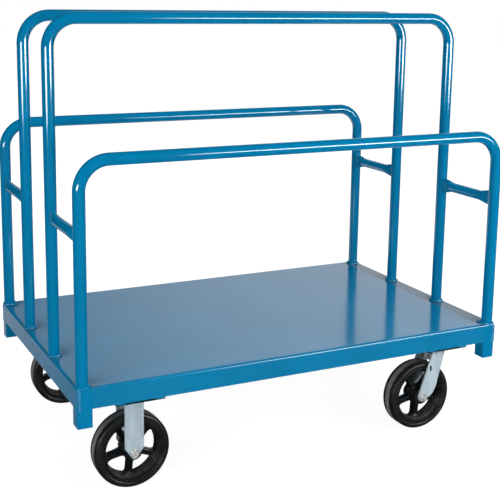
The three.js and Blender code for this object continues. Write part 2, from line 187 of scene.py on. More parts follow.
def make_floor():
    half = FLOOR_SIDE / 2
    corners = [(-half, -half), (half, -half), (half, half), (-half, half)]
    mesh = bpy.data.meshes.new("studio_floor")
    mesh.from_pydata([(x, y, -FLOOR_GAP) for x, y in corners], [], [(0, 1, 2, 3)])
    floor = bpy.data.objects.new("studio_floor", mesh)
    bpy.context.scene.collection.objects.link(floor)
    ground = bpy.data.materials.new("white_floor")
    ground.use_nodes = True
    tree = ground.node_tree
    tree.nodes.remove(tree.nodes["Principled BSDF"])
    place = add_node(tree, "ShaderNodeTexCoord").outputs["Object"]
    from_pool = add_node(tree, "ShaderNodeVectorMath", {0: place, 1: POOL}, operation="DISTANCE").outputs["Value"]
    distance = add_node(tree, "ShaderNodeVectorMath", {0: place}, operation="LENGTH").outputs["Value"]
    lit = rescale(tree, from_pool, POOL_CORE, POOL_EDGE, LIT_LEVEL, MIRROR_DIM)
    # Painted shadow: the floor that gloss paint mirrors is dark under the cart and brightens again just beside it.
    beyond = add_node(tree, "ShaderNodeVectorMath", {0: place}, operation="ABSOLUTE").outputs[0]
    for operation, other in (("SUBTRACT", (*cad_box[1][:2], 0)), ("MAXIMUM", (0, 0, 0))):
        beyond = add_node(tree, "ShaderNodeVectorMath", {0: beyond, 1: other}, operation=operation).outputs[0]
    outside = add_node(tree, "ShaderNodeVectorMath", {0: beyond}, operation="LENGTH").outputs["Value"]
    mirrored = add_node(tree, "ShaderNodeEmission", {
        "Strength": work_out(tree, "MULTIPLY", lit, rescale(tree, outside, 0, SHADE_EDGE))})
    glow = add_node(tree, "ShaderNodeEmission", {
        "Strength": rescale(tree, distance, FLOOR_NEAR, FLOOR_FAR, FLOOR_GLOW, FAR_GLOW)})
    matt = add_node(tree, "ShaderNodeBsdfDiffuse", {"Color": (FLOOR_MATT,) * 3 + (1,)})
    seen = add_node(tree, "ShaderNodeAddShader", {0: glow.outputs[0], 1: matt.outputs[0]})
    bounce = add_node(tree, "ShaderNodeBsdfDiffuse", {"Color": (FLOOR_BOUNCE,) * 3 + (1,)})
    unseen = add_node(tree, "ShaderNodeMixShader", {
        0: looks_mirrored(tree), 1: bounce.outputs[0], 2: mirrored.outputs[0]})
    both = add_node(tree, "ShaderNodeMixShader", {0: looks_straight(tree), 1: unseen.outputs[0], 2: seen.outputs[0]})
    tree.links.new(both.outputs[0], tree.nodes["Material Output"].inputs["Surface"])
    mesh.materials.append(ground)


def softbox(name, place, aim, size, power, mirrored=True):
    data = bpy.data.lights.new(name, "AREA")
    data.shape = "ELLIPSE"
    data.size, data.size_y = size
    data.energy = power
    lamp = bpy.data.objects.new(name, data)
    direction = Vector(aim) - Vector(place)
    lamp.matrix_world = Matrix.Translation(place) @ direction.to_track_quat("-Z", "Y").to_matrix().to_4x4()
    lamp.visible_camera = False
    lamp.visible_glossy = mirrored
    bpy.context.scene.collection.objects.link(lamp)


make_sky()
make_floor()
softbox("front_strip", (2.65, -4.03, 0.90), (0, 0, 0.6), (2.8, 0.8), 72)
softbox("left_strip", (-3.43, -2.67, 0.82), (0, 0, 0.6), (2.1, 0.7), 30)
softbox("front_softbox", (1.15, -1.97, 1.17), (0, 0, 0.6), (1.5, 0.9), 17, mirrored=False)
softbox("left_softbox", (-3.43, -2.67, 1.4), (0, 0, 0.6), (2.1, 2.0), 74, mirrored=False)
softbox("ceiling", (0.5, -2.4, 10), (0, 0, 0.3), (6, 6), 620, mirrored=False)
softbox("rear_softbox", (-0.6, 4.2, 2.4), (0, 0, 0.5), (3, 2), 70, mirrored=False)
bpy.context.scene.view_settings.view_transform = "Standard"

# %% [markdown]
# ## Blue enamel
# Deck, legs, rails and ties are welded steel under one coat of gloss blue enamel. The coat is smooth enough to show
# the posts in the deck, with a faint orange peel, slow changes of shade where it was sprayed thicker, and a dull
# brown haze where the heat of a weld reached through, whose darker colour round each post foot is painted shade. A
# duller strip along the right end of the deck is painted darker reflection. A plain colour would look like plastic,
# so each of these is a small mask of noise on Object coordinates, and the haze is an attribute that the deck carries.

# %% Make the blue enamel


def object_noise(tree, scale, detail=2.0, stretch=(1, 1, 1)):
    """Noise on the piece's own coordinates, stretched along an axis if asked."""
    place = add_node(tree, "ShaderNodeTexCoord").outputs["Object"]
    turned = add_node(tree, "ShaderNodeMapping", {"Vector": place, "Scale": stretch}).outputs["Vector"]
    return add_node(tree, "ShaderNodeTexNoise", {"Vector": turned, "Scale": scale, "Detail": detail}).outputs["Fac"]


def mix_colours(tree, factor, first, second):
    return add_node(tree, "ShaderNodeMix", {0: factor, 6: first, 7: second}, data_type="RGBA").outputs[2]


def attribute(tree, name):
    return add_node(tree, "ShaderNodeAttribute", attribute_name=name).outputs["Fac"]


def bump(tree, height, depth, strength=1.0):
    """A normal that is tilted by a height map of a given depth in metres."""
    inputs = {"Height": height, "Distance": depth, "Strength": strength}
    return add_node(tree, "ShaderNodeBump", inputs).outputs["Normal"]


def new_finish(name, colour, roughness, normal=None, **constants):
    """A material whose colour, roughness and normal come from its tree, which the maker fills."""
    finish = bpy.data.materials.new(name)
    finish.use_nodes = True
    tree = finish.node_tree
    shader = tree.nodes["Principled BSDF"]
    for socket, source in (("Base Color", colour), ("Roughness", roughness), ("Normal", normal)):
        if source is not None:
            tree.links.new(source(tree), shader.inputs[socket])
    for socket, value in constants.items():
        shader.inputs[socket.replace("_", " ")].default_value = value
    return finish


ENAMEL_BLUE = (0.0, 0.173, 0.352, 1)
ENAMEL_DEEP = (0.0, 0.155, 0.320, 1)
# painted shade round each post foot, and painted darker reflection along the right end of the deck
HAZE_SHADE = (0.030, 0.070, 0.100, 1)
# painted shade: the dark edges of the bolster plates, which sit in shade under the skirts
EDGE_SHADE = (0.004, 0.020, 0.035, 1)


def enamel_colour(tree):
    cloud = rescale(tree, object_noise(tree, 5.0, 3.0), 0.35, 0.65)
    coat = mix_colours(tree, cloud, ENAMEL_DEEP, ENAMEL_BLUE)
    # Painted shade: this mark darkens the coat round each post foot, and as painted reflection along the right end.
    haze_shaded = mix_colours(tree, attribute(tree, "haze_and_shade"), coat, HAZE_SHADE)
    # Painted shade: this mark paints the bolster plates' edges dark.
    return mix_colours(tree, attribute(tree, "edge_shade"), haze_shaded, EDGE_SHADE)


def ground_marks(tree):
    """Where a grinder has been, with a ragged end to its strokes."""
    strokes = rescale(tree, object_noise(tree, 150.0, 5.0, (1, 1, 0.15)), 0.3, 0.7, -0.4, 0.4)
    level = attribute(tree, "ground")
    return rescale(tree, work_out(tree, "MULTIPLY_ADD", strokes, level, level), 0.25, 1.1)


def enamel_roughness(tree):
    drift = rescale(tree, object_noise(tree, 11.0, 4.0), 0.3, 0.7, 0.07, 0.10)
    flat = work_out(tree, "MULTIPLY_ADD", attribute(tree, "satin"), 0.06, drift)
    haze_shaded = work_out(tree, "MULTIPLY_ADD", attribute(tree, "haze_and_shade"), 0.12, flat)
    return work_out(tree, "MULTIPLY_ADD", ground_marks(tree), 0.35, haze_shaded)


def enamel_peel(tree):
    peel = work_out(tree, "MULTIPLY", object_noise(tree, 260.0, 1.0), 0.05)
    scratched = work_out(tree, "MULTIPLY", object_noise(tree, 420.0, 3.0), ground_marks(tree))
    return bump(tree, work_out(tree, "ADD", peel, scratched), 0.0003, 0.5)


blue_enamel = new_finish("blue_enamel", enamel_colour, enamel_roughness, enamel_peel, IOR=2.1)
print("finish", blue_enamel.name)

# %% [markdown]
# ## Mesh helpers
# Most pieces are skins over rings of points: tubes, turned wheels and pressed ends are all rows of rings. A finished
# piece is merged, its faces are turned outwards, and edges sharper than a set angle stay crisp. Then it takes its
# finish, rides on its body and stands for the frame's own node.

# %% Helpers for meshes


def add_mesh(name, points, faces, edges=()):
    mesh = bpy.data.meshes.new(name)
    mesh.from_pydata([tuple(point) for point in points], list(edges), faces)
    made = bpy.data.objects.new(name, mesh)
    bpy.context.scene.collection.objects.link(made)
    return made


def skin(name, rings, wrap=False, caps=False):
    """A mesh over rows of points, each row a closed ring of the same count."""
    rows = len(rings)
    count = len(rings[0])
    faces = []
    for row in range(rows if wrap else rows - 1):
        after = (row + 1) % rows
        for i in range(count):
            j = (i + 1) % count
            faces.append((row * count + i, row * count + j, after * count + j, after * count + i))
    if caps:
        faces.append(tuple(range(count)))
        faces.append(tuple(range((rows - 1) * count, rows * count)))
    return add_mesh(name, [point for ring in rings for point in ring], faces)


def apply_modifiers(piece):
    """Turns what the modifiers show into the piece's own plain mesh."""
    shown = piece.evaluated_get(bpy.context.evaluated_depsgraph_get())
    mesh = bpy.data.meshes.new_from_object(shown)
    piece.modifiers.clear()
    piece.data = mesh


def clean(piece):
    """Merges doubles and turns every face outwards."""
    work = bmesh.new()
    work.from_mesh(piece.data)
    bmesh.ops.remove_doubles(work, verts=work.verts, dist=0.002 * MM)
    bmesh.ops.dissolve_degenerate(work, edges=work.edges, dist=0.001 * MM)
    bmesh.ops.recalc_face_normals(work, faces=work.faces)
    work.to_mesh(piece.data)
    work.free()


def mark(piece, name, level):
    """Stores a level from 0 to 1 at each point of a piece."""
    marks = piece.data.attributes.new(name, "FLOAT", "POINT")
    for point, value in zip(piece.data.vertices, marks.data):
        value.value = min(max(level(point.co), 0.0), 1.0)


def score(piece, *planes):
    """Cuts lines of points into a piece where planes cross it, each a spot and a direction."""
    work = bmesh.new()
    work.from_mesh(piece.data)
    for spot, direction in planes:
        everything = work.verts[:] + work.edges[:] + work.faces[:]
        bmesh.ops.bisect_plane(work, geom=everything, plane_co=spot, plane_no=direction)
    work.to_mesh(piece.data)
    work.free()


def settle(piece, body, finish, nodes, crisp=32):
    """Finishes a piece: shaded, painted, riding on its body and standing for its nodes."""
    piece.data.shade_smooth()
    piece.data.set_sharp_from_angle(angle=math.radians(crisp))
    piece.data.materials.clear()
    piece.data.materials.append(finish)
    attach(piece, body)
    if nodes:
        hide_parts(*nodes)
    print(piece.name, "on", body, len(piece.data.polygons), "faces")
    return piece


# %% [markdown]
# ## Deck pan
# The deck is one sheet with its four edges folded down as skirts and its corners notched for the legs. It is drawn as
# a grid that runs over the folds, so that the bends are true arcs, and the sheet gets its thickness from Solidify.
# Welding pulls a thin sheet: it dips at each post and lies in slow waves between them, which the gloss shows.

# %% Fold the deck
DECK_SHEET = 2.7 * MM
DECK_BEND = 6 * MM
DECK_CELLS = (150, 92)  # along and across, between the notches
RIM_CELLS, BEND_CELLS, SKIRT_CELLS = 6, 8, 5
WAVE_HEIGHT = 0.45 * MM
PULL_DEPTH = 3.2 * MM
PULL_REACH = 38 * MM
HOLD_REACH = 30 * MM  # the folds hold the sheet flat this far in
# how far the dulling and the painted shade round each post foot reach
POST_SHADE_REACH = 36 * MM
END_BAND = 50 * MM  # a duller strip along the right end, with painted darker reflection in its colour
END_BAND_EDGE = 5 * MM
END_BAND_LEVEL = 0.6

deck_low, deck_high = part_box("deck_pan")
deck_top = deck_high.z
leg_low, leg_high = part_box("corner_leg_left_front")
leg_size = leg_high.x - leg_low.x
RAILS = ("low_rail_front", "tall_rail_front", "tall_rail_rear", "low_rail_rear")
RAIL_RADIUS = 31.75 / 2 * MM
post_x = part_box(RAILS[0])[1].x - RAIL_RADIUS * math.cos(math.pi / 16)


def rail_y(rail):
    low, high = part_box(rail)
    return (low.y + high.y) / 2


posts = [(side * post_x, rail_y(rail)) for rail in RAILS for side in (-1, 1)]


def smooth_step(low, high, value):
    share = min(max((value - low) / (high - low), 0), 1)
    return share * share * (3 - 2 * share)


def edge_distance(x, y):
    return min(deck_high.x - abs(x), deck_high.y - abs(y))


def post_distance(x, y):
    return min(math.hypot(x - px, y - py) for px, py in posts)


def deck_warp(x, y):
    """How far the heat of welding moved the sheet up or down."""
    hold = smooth_step(DECK_BEND, HOLD_REACH, edge_distance(x, y))
    wave = noise.noise(Vector((x * 3.2, y * 3.2, 0.4))) * WAVE_HEIGHT
    pull = PULL_DEPTH * math.exp(-((post_distance(x, y) / PULL_REACH) ** 2))
    return hold * (wave - pull)


def fold_stations(half, cells):
    """Places across a folded sheet, as distance from the middle and drop below the top."""
    flat = np.linspace(leg_size - half, half - leg_size, cells + 1)
    rim = np.linspace(half - leg_size, half - DECK_BEND, RIM_CELLS + 1)[1:]
    turns = np.linspace(0, math.pi / 2, BEND_CELLS + 1)[1:]
    bend = [(half - DECK_BEND * (1 - math.sin(a)), DECK_BEND * (1 - math.cos(a))) for a in turns]
    skirt = np.linspace(DECK_BEND, deck_top - deck_low.z, SKIRT_CELLS + 1)[1:]
    side = [(place, 0) for place in rim] + bend + [(half, drop) for drop in skirt]
    return [(-place, drop) for place, drop in reversed(side)] + [(place, 0) for place in flat] + side


def make_deck():
    columns = fold_stations(deck_high.x, DECK_CELLS[0])
    rows = fold_stations(deck_high.y, DECK_CELLS[1])
    points = []
    for x, drop_x in columns:
        for y, drop_y in rows:
            points.append((x, y, deck_top - drop_x - drop_y + deck_warp(x, y)))
    faces = []
    corner = RIM_CELLS + BEND_CELLS + SKIRT_CELLS
    wide, deep = len(columns), len(rows)
    for i in range(wide - 1):
        for j in range(deep - 1):
            beyond_x = i < corner or i >= wide - 1 - corner
            beyond_y = j < corner or j >= deep - 1 - corner
            if not (beyond_x and beyond_y):
                first = i * deep + j
                faces.append((first, first + deep, first + deep + 1, first + 1))
    pan = add_mesh("deck_pan_folded", points, faces)
    clean_loose(pan)
    thick = pan.modifiers.new("sheet", "SOLIDIFY")
    thick.thickness = DECK_SHEET
    thick.offset = -1
    edge = pan.modifiers.new("edge", "BEVEL")
    edge.width = 0.4 * MM
    edge.limit_method = "ANGLE"
    edge.angle_limit = math.radians(60)
    apply_modifiers(pan)
    return pan


def clean_loose(piece):
    """Removes the points that no face uses."""
    work = bmesh.new()
    work.from_mesh(piece.data)
    bmesh.ops.delete(work, geom=[v for v in work.verts if not v.link_faces], context="VERTS")
    work.to_mesh(piece.data)
    work.free()


def haze_and_shade_level(spot):
    """How far the coat is dulled and darkened: painted shade near the nearest post, painted reflection along the right
    end.
    """
    streak = 0.75 + 0.6 * noise.noise(Vector((spot.x * 30, spot.y * 30, 2.1)))
    near_post = streak * math.exp(-((post_distance(spot.x, spot.y) / POST_SHADE_REACH) ** 2))
    on_top = spot.z > deck_top - DECK_BEND
    band = smooth_step(END_BAND + END_BAND_EDGE, END_BAND, deck_high.x - spot.x)
    return on_top * max(near_post, band * END_BAND_LEVEL)


deck_pan = make_deck()
# The deck carries the dulling and the painted shade round the posts, and the painted reflection along the right end.
mark(deck_pan, "haze_and_shade", haze_and_shade_level)
mark(deck_pan, "satin", lambda spot: 1.0)
settle(deck_pan, "deck", blue_enamel, ["deck_pan"])

# %% [markdown]
# ## Corner legs
# Each corner is a length of square tube, flush with the skirts and longer than they are, closed at the top where the
# low rail stands on it. Its ring of points is a rounded square. Towards the top the ring leans in on the two outer
# sides only, so that the leg follows the deck's bend, while its inner sides stay against the notch. The seams with
# the skirts are ground flush, so only the outermost corner keeps the tube's own rounding.

# %% Make the corner legs
LEG_CORNER = 4 * MM
LEG_WALL = 3 * MM
LEG_EDGE = 0.6 * MM
GROUND_CORNER = 0.3 * MM  # what grinding leaves of the corners beside the skirts
GROUND_WIDTH = 7 * MM  # the ground stripe down the outermost corner
GROUND_FADE = 5 * MM
CORNERS = {"left_front": (-1, -1), "left_rear": (-1, 1), "right_front": (1, -1), "right_rear": (1, 1)}


def rounded_ring(half_x, half_y, corner, steps=6, only=None):
    """A rectangle about the origin, rounded at every corner or only at one, as points with outward directions."""
    ring = []
    for quarter, (sx, sy) in enumerate(((1, 1), (-1, 1), (-1, -1), (1, -1))):
        radius = corner if only in (None, (sx, sy)) else GROUND_CORNER
        for step in range(steps + 1):
            angle = (quarter + step / steps) * math.pi / 2
            out = Vector((math.cos(angle), math.sin(angle)))
            ring.append((Vector((sx * (half_x - radius), sy * (half_y - radius))) + out * radius, out))
    return ring


def make_leg(place, sx, sy):
    node = f"corner_leg_{place}"
    low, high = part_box(node)
    middle = (low + high) / 2
    outer = rounded_ring(leg_size / 2, leg_size / 2, LEG_CORNER, only=(sx, sy))
    bore = leg_size / 2 - LEG_WALL
    inner = rounded_ring(bore, bore, LEG_CORNER - LEG_WALL)

    def level(ring, z, lean=0.0, inset=0.0):
        points = []
        for spot, out in ring:
            x = spot.x - out.x * inset - sx * max(0, out.x * sx) * lean
            y = spot.y - out.y * inset - sy * max(0, out.y * sy) * lean
            points.append((middle.x + x, middle.y + y, z))
        return points

    rings = [level(inner, high.z - LEG_WALL), level(inner, low.z)]
    rings.append(level(outer, low.z, inset=LEG_EDGE))
    rings.append(level(outer, low.z + LEG_EDGE))
    for angle in np.linspace(0, math.pi / 2, BEND_CELLS + 1):
        lean = DECK_BEND * (1 - math.cos(angle))
        rings.append(level(outer, high.z - DECK_BEND * (1 - math.sin(angle)), lean))
    leg = skin(f"{node}_tube", rings, caps=True)
    clean(leg)
    inner_x = sx * (deck_high.x - GROUND_WIDTH)
    stripe_end = deck_low.z - 2 * MM
    score(leg, ((inner_x, 0, 0), (1, 0, 0)), ((inner_x - sx * GROUND_FADE, 0, 0), (1, 0, 0)),
          ((0, 0, stripe_end), (0, 0, 1)), ((0, 0, stripe_end - GROUND_FADE), (0, 0, 1)))

    def ground(spot):
        inside = (spot.x - inner_x) * sx > -GROUND_FADE / 2
        on_face = spot.y * sy > deck_high.y - LEG_CORNER
        return inside and on_face and spot.z > stripe_end - GROUND_FADE / 2

    mark(leg, "ground", ground)
    settle(leg, "deck", blue_enamel, [node])


for place, (sx, sy) in CORNERS.items():
    make_leg(place, sx, sy)

# %% [markdown]
# ## Rails
# A rail is one tube, bent twice into a hoop. A ring swept along the line of the hoop gives a smooth tube with the
# same radius everywhere, and a second, smaller skin inside it makes it hollow, as it is at its open ends.

# %% Bend the rails
RAIL_WALL = 2.1 * MM
RAIL_BEND = 76 * MM
RAIL_SIDES = 48
RAIL_BEND_STEPS = 24


def hoop_line(y, top):
    """Points up one post, along the top and down the other, each with its direction of travel."""
    line = [(Vector((-post_x, y, deck_top)), Vector((0, 0, 1)))]
    for side, start in ((-1, math.pi), (1, math.pi / 2)):
        for angle in np.linspace(start, start - math.pi / 2, RAIL_BEND_STEPS + 1):
            x = side * (post_x - RAIL_BEND) + RAIL_BEND * math.cos(angle)
            z = top - RAIL_BEND + RAIL_BEND * math.sin(angle)
            line.append((Vector((x, y, z)), Vector((math.sin(angle), 0, -math.cos(angle)))))
    line.append((Vector((post_x, y, deck_top)), Vector((0, 0, -1))))
    return line


def swept_rings(line, radius):
    across = Vector((0, 1, 0))
    turns = [2 * math.pi * i / RAIL_SIDES for i in range(RAIL_SIDES)]
    rings = []
    for spot, travel in line:
        outward = across.cross(travel)
        rings.append([spot + (across * math.cos(a) + outward * math.sin(a)) * radius for a in turns])
    return rings


def make_rail(node):
    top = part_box(node)[1].z - RAIL_RADIUS * math.cos(math.pi / 16)
    line = hoop_line(rail_y(node), top)
    outer = swept_rings(line, RAIL_RADIUS)
    inner = swept_rings(line, RAIL_RADIUS - RAIL_WALL)
    rail = skin(f"{node}_tube", outer + inner[::-1], wrap=True)
    clean(rail)
    settle(rail, "deck", blue_enamel, [node])


for rail_node in RAILS:
    make_rail(rail_node)

# %% [markdown]
# ## Ties
# A short tube ties each low post to the tall post beside it. Its ends are pressed flat so that they meet the posts in
# a line. Pressing keeps the girth, so each ring is two flats and two round ends of the same total length, and the
# thickness runs from flat to round over a short scoop.

# %% Press the ties
TIE_DIAMETER = 28.6 * MM
TIE_WALL = 1.65 * MM
TIE_FLAT = 7 * MM
TIE_LAND = 9 * MM  # fully flat next to the post
TIE_SCOOP = 38 * MM  # from there to the round middle
TIE_SIDES = 48
TIE_STEPS = 16


def pressed_ring(thickness, girth):
    """An upright flattened ring that keeps the girth of the round tube."""
    flat = girth / 2 - math.pi * thickness / 2
    ring = []
    for i in range(TIE_SIDES):
        along = (i + 0.5) / TIE_SIDES * girth
        side = 1 if along < girth / 2 else -1
        rise = side * (along - girth / 4 if side > 0 else along - 3 * girth / 4)
        angle = max(0, abs(rise) - flat / 2) / (thickness / 2)
        height = min(abs(rise), flat / 2) + thickness / 2 * math.sin(angle)
        ring.append((side * thickness / 2 * math.cos(angle), math.copysign(height, rise)))
    return ring


def tie_stations(near, far):
    """Places along a tie with its thickness there."""
    steps = np.linspace(0, 1, TIE_STEPS + 1)
    swell = [(TIE_LAND + share * TIE_SCOOP, smooth_step(0, 1, share)) for share in steps]
    press = [(0.0, 0.0)] + swell
    middle = [(near + along, share) for along, share in press]
    return middle + [(far - along, share) for along, share in reversed(press)]


def make_tie(place, sx, sy):
    node = f"tie_tube_{place}"
    low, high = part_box(node)
    level = (low.z + high.z) / 2
    ends = sorted((low.y, high.y))
    centre_girth = math.pi * (TIE_DIAMETER - TIE_WALL)
    skins = []
    for offset in (TIE_WALL / 2, -TIE_WALL / 2):
        rings = []
        for y, share in tie_stations(*ends):
            thickness = TIE_FLAT + share * (TIE_DIAMETER - TIE_FLAT) - TIE_WALL + 2 * offset
            ring = pressed_ring(thickness, centre_girth + 2 * math.pi * offset)
            rings.append([(sx * post_x + x, y, level + z) for x, z in ring])
        skins.append(rings)
    tie = skin(f"{node}_pressed", skins[0] + skins[1][::-1], wrap=True)
    clean(tie)
    settle(tie, "deck", blue_enamel, [node])


for place, (sx, sy) in CORNERS.items():
    make_tie(place, sx, sy)

# %% [markdown]
# ## Under the deck
# A folded channel stiffens the middle of the deck, and two flat bolster plates carry the casters. They are seen from
# below only, but light reaches them, so they are true sections with small broken edges. The plates' edges are
# painted dark as painted shade.

# %% Make the stiffener and the bolsters
BREAK = 0.7 * MM  # the small chamfer on a sheared plate
HOLE_SIDES = 32


def slab(name, low, high, corner, edge=BREAK):
    """A flat plate with rounded corners and broken edges."""
    middle = (low + high) / 2
    half = (high - low) / 2
    rings = []
    for z, inset in ((low.z, edge), (low.z + edge, 0), (high.z - edge, 0), (high.z, edge)):
        ring = rounded_ring(half.x - inset, half.y - inset, corner - inset)
        rings.append([(middle.x + spot.x, middle.y + spot.y, z) for spot, _ in ring])
    plate = skin(name, rings, caps=True)
    clean(plate)
    return plate


def rods(name, places, radius, axis, reach):
    """Round rods at several places along one axis, used to bore holes."""
    points, faces = [], []
    turns = [2 * math.pi * i / HOLE_SIDES for i in range(HOLE_SIDES)]
    side = Vector((1, 0, 0))
    other = Vector(axis).cross(side)
    for place in places:
        start = len(points)
        for end in (-reach, reach):
            points += [Vector(place) + Vector(axis) * end
                       + (side * math.cos(a) + other * math.sin(a)) * radius for a in turns]
        for i in range(HOLE_SIDES):
            j = (i + 1) % HOLE_SIDES
            faces.append((start + i, start + j, start + HOLE_SIDES + j, start + HOLE_SIDES + i))
        faces.append(tuple(range(start, start + HOLE_SIDES)))
        faces.append(tuple(range(start + HOLE_SIDES, start + 2 * HOLE_SIDES)))
    made = add_mesh(name, points, faces)
    clean(made)
    return made


def combine(piece, other, operation):
    """Joins another mesh to a piece or cuts it away, and removes the other."""
    step = piece.modifiers.new(operation.lower(), "BOOLEAN")
    step.operation = operation
    step.object = other
    step.solver = "EXACT"
    apply_modifiers(piece)
    bpy.data.objects.remove(other)


def bolt_places(caster):
    """The middles of a caster's four plate bolts."""
    found = []
    for corner in CORNERS:
        low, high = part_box(f"plate_bolt_{caster}_{corner}")
        found.append((low + high) / 2)
    return found


BOLT_RADIUS = 4.75 * MM
BOLT_CLEARANCE = 0.3 * MM


def make_bolster(side):
    node = f"bolster_plate_{side}"
    low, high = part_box(node)
    plate = slab(f"{node}_flat", low, high, 1.5 * MM)
    places = bolt_places(f"{side}_front") + bolt_places(f"{side}_rear")
    combine(plate, rods("taps", places, BOLT_RADIUS + BOLT_CLEARANCE, (0, 0, 1), 40 * MM), "DIFFERENCE")
    middle = (low + high) / 2
    half = (high - low) / 2

    # Painted shade: the plate's edges are painted dark, standing in for the shade under the skirt.
    def in_edge_shade(spot):
        from_edge = min(half.x - abs(spot.x - middle.x), half.y - abs(spot.y - middle.y))
        return from_edge < BREAK / 2

    mark(plate, "edge_shade", in_edge_shade)
    settle(plate, "deck", blue_enamel, [node])


def make_stiffener():
    low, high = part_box("deck_stiffener")
    turns = np.linspace(0, math.pi / 2, BEND_CELLS + 1)

    def half_section(inset):
        radius = DECK_BEND - inset
        arc = [(high.y - inset - radius + radius * math.cos(a), high.z - inset - radius + radius * math.sin(a))
               for a in turns]
        return [(high.y - inset, low.z)] + arc

    outer = half_section(0)
    inner = half_section(DECK_SHEET)
    right_side = outer
    left_side = [(-y, z) for y, z in reversed(outer)]
    back = [(-y, z) for y, z in inner] + [(y, z) for y, z in reversed(inner)]
    section = right_side + left_side + back
    rings = [[(x, y, z) for y, z in section] for x in (low.x, high.x)]
    channel = skin("deck_stiffener_channel", rings, caps=True)
    clean(channel)
    settle(channel, "deck", blue_enamel, ["deck_stiffener"])


make_stiffener()
make_bolster("left")
make_bolster("right")

# %% [markdown]
# ## Weld beads
# Every joint of the frame is welded, and the beads show as raised, rippled lines under the paint. A bead follows a
# path, so Geometry Nodes make it: each path becomes a curve, a round profile is swept along it, and its surface is
# pushed out in overlapping scallops with some noise. The width of the bead is stored on the path's points, because a
# welder lays less metal where an edge is close.

# %% Build the weld tree


def new_tree(name, **sockets):
    """An empty geometry tree with named inputs, and its two ends."""
    tree = bpy.data.node_groups.new(name, "GeometryNodeTree")
    tree.interface.new_socket("Geometry", in_out="INPUT", socket_type="NodeSocketGeometry")
    for label, kind in sockets.items():
        tree.interface.new_socket(label.replace("_", " "), in_out="INPUT", socket_type=f"NodeSocket{kind}")
    tree.interface.new_socket("Geometry", in_out="OUTPUT", socket_type="NodeSocketGeometry")
    return tree, tree.nodes.new("NodeGroupInput").outputs, tree.nodes.new("NodeGroupOutput").inputs[0]


def end_tree(tree, geometry, finish, end):
    """Realizes what the tree made and gives it its finish."""
    real = add_node(tree, "GeometryNodeRealizeInstances", {"Geometry": geometry}).outputs[0]
    painted = add_node(tree, "GeometryNodeSetMaterial", {"Geometry": real, "Material": finish}).outputs[0]
    tree.links.new(painted, end)


def run_tree(piece, tree, **values):
    """Runs a tree on a piece with these inputs and keeps the result as a plain mesh."""
    step = piece.modifiers.new(tree.name, "NODES")
    step.node_group = tree
    sockets = {item.name: item.identifier for item in tree.interface.items_tree if item.in_out == "INPUT"}
    for label, value in values.items():
        step[sockets[label.replace("_", " ")]] = value
    apply_modifiers(piece)
    return piece


def build_weld_tree():
    tree, given, end = new_tree(
        "weld_bead", Step="Float", Ripple="Float", Ripple_Height="Float", Lumps="Float", Finish="Material")
    line = add_node(tree, "GeometryNodeMeshToCurve", {"Mesh": given["Geometry"]}).outputs[0]
    even = add_node(tree, "GeometryNodeResampleCurve", {"Curve": line, "Length": given["Step"]}, mode="LENGTH")
    travel = add_node(tree, "GeometryNodeSplineParameter").outputs["Length"]
    kept = add_node(tree, "GeometryNodeCaptureAttribute")
    kept.capture_items.new("FLOAT", "Travel")
    tree.links.new(even.outputs[0], kept.inputs["Geometry"])
    tree.links.new(travel, kept.inputs["Travel"])
    bead = add_node(tree, "GeometryNodeInputNamedAttribute", {"Name": "bead"}).outputs["Attribute"]
    profile = add_node(tree, "GeometryNodeCurvePrimitiveCircle", {"Resolution": 14, "Radius": 1.0}).outputs[0]
    tube = add_node(tree, "GeometryNodeCurveToMesh", {
        "Curve": kept.outputs["Geometry"], "Profile Curve": profile, "Scale": bead, "Fill Caps": True,
    }).outputs[0]
    beats = work_out(tree, "DIVIDE", kept.outputs["Travel"], given["Ripple"])
    scallop = work_out(tree, "ABSOLUTE", work_out(tree, "SINE", work_out(tree, "MULTIPLY", beats, math.pi)))
    ripple = work_out(tree, "MULTIPLY", work_out(tree, "SUBTRACT", scallop, 0.6), given["Ripple Height"])
    grain = add_node(tree, "ShaderNodeTexNoise", {"Scale": 140.0, "Detail": 2.0}).outputs["Fac"]
    lumps = work_out(tree, "MULTIPLY", work_out(tree, "SUBTRACT", grain, 0.5), given["Lumps"])
    push = work_out(tree, "ADD", ripple, lumps)
    normal = add_node(tree, "GeometryNodeInputNormal").outputs[0]
    offset = add_node(tree, "ShaderNodeVectorMath", {0: normal, "Scale": push}, operation="SCALE").outputs[0]
    shaped = add_node(tree, "GeometryNodeSetPosition", {"Geometry": tube, "Offset": offset}).outputs[0]
    end_tree(tree, shaped, given["Finish"], end)
    return tree


weld_tree = build_weld_tree()
print("weld tree with", len(weld_tree.nodes), "nodes")

# %% [markdown]
# The paths come from the pieces themselves: a ring round the foot of each post, an outline at each end of a tie, the
# seams where the deck meets the legs, the corner of each leg and short stitches that hold the bolsters. Near a deck
# edge the ring sinks with the bend and its bead gets thinner.

# %% Lay the welds
POST_BEAD = 4.3 * MM
TIE_BEAD = 2.3 * MM
SEAM_BEAD = 1.0 * MM
CORNER_BEAD = 2.2 * MM
STITCH_BEAD = 2.2 * MM
STITCH_LENGTH = 26 * MM
WELD_STEP = 0.9 * MM
ring_turns = [2 * math.pi * i / 72 for i in range(72)]
weld_paths = []


def add_weld(points, beads, closed):
    weld_paths.append((points, beads, closed))


def post_weld(x, y):
    points, beads = [], []
    for turn in ring_turns:
        reach = RAIL_RADIUS + 0.6 * MM
        px = x + reach * math.cos(turn)
        py = y + reach * math.sin(turn)
        room = edge_distance(px, py)
        beads.append(min(POST_BEAD, max(2.4 * MM, room)))
        points.append((px, py, deck_top + min(0.8 * MM, (room - 5 * MM) * 0.4)))
    add_weld(points, beads, True)


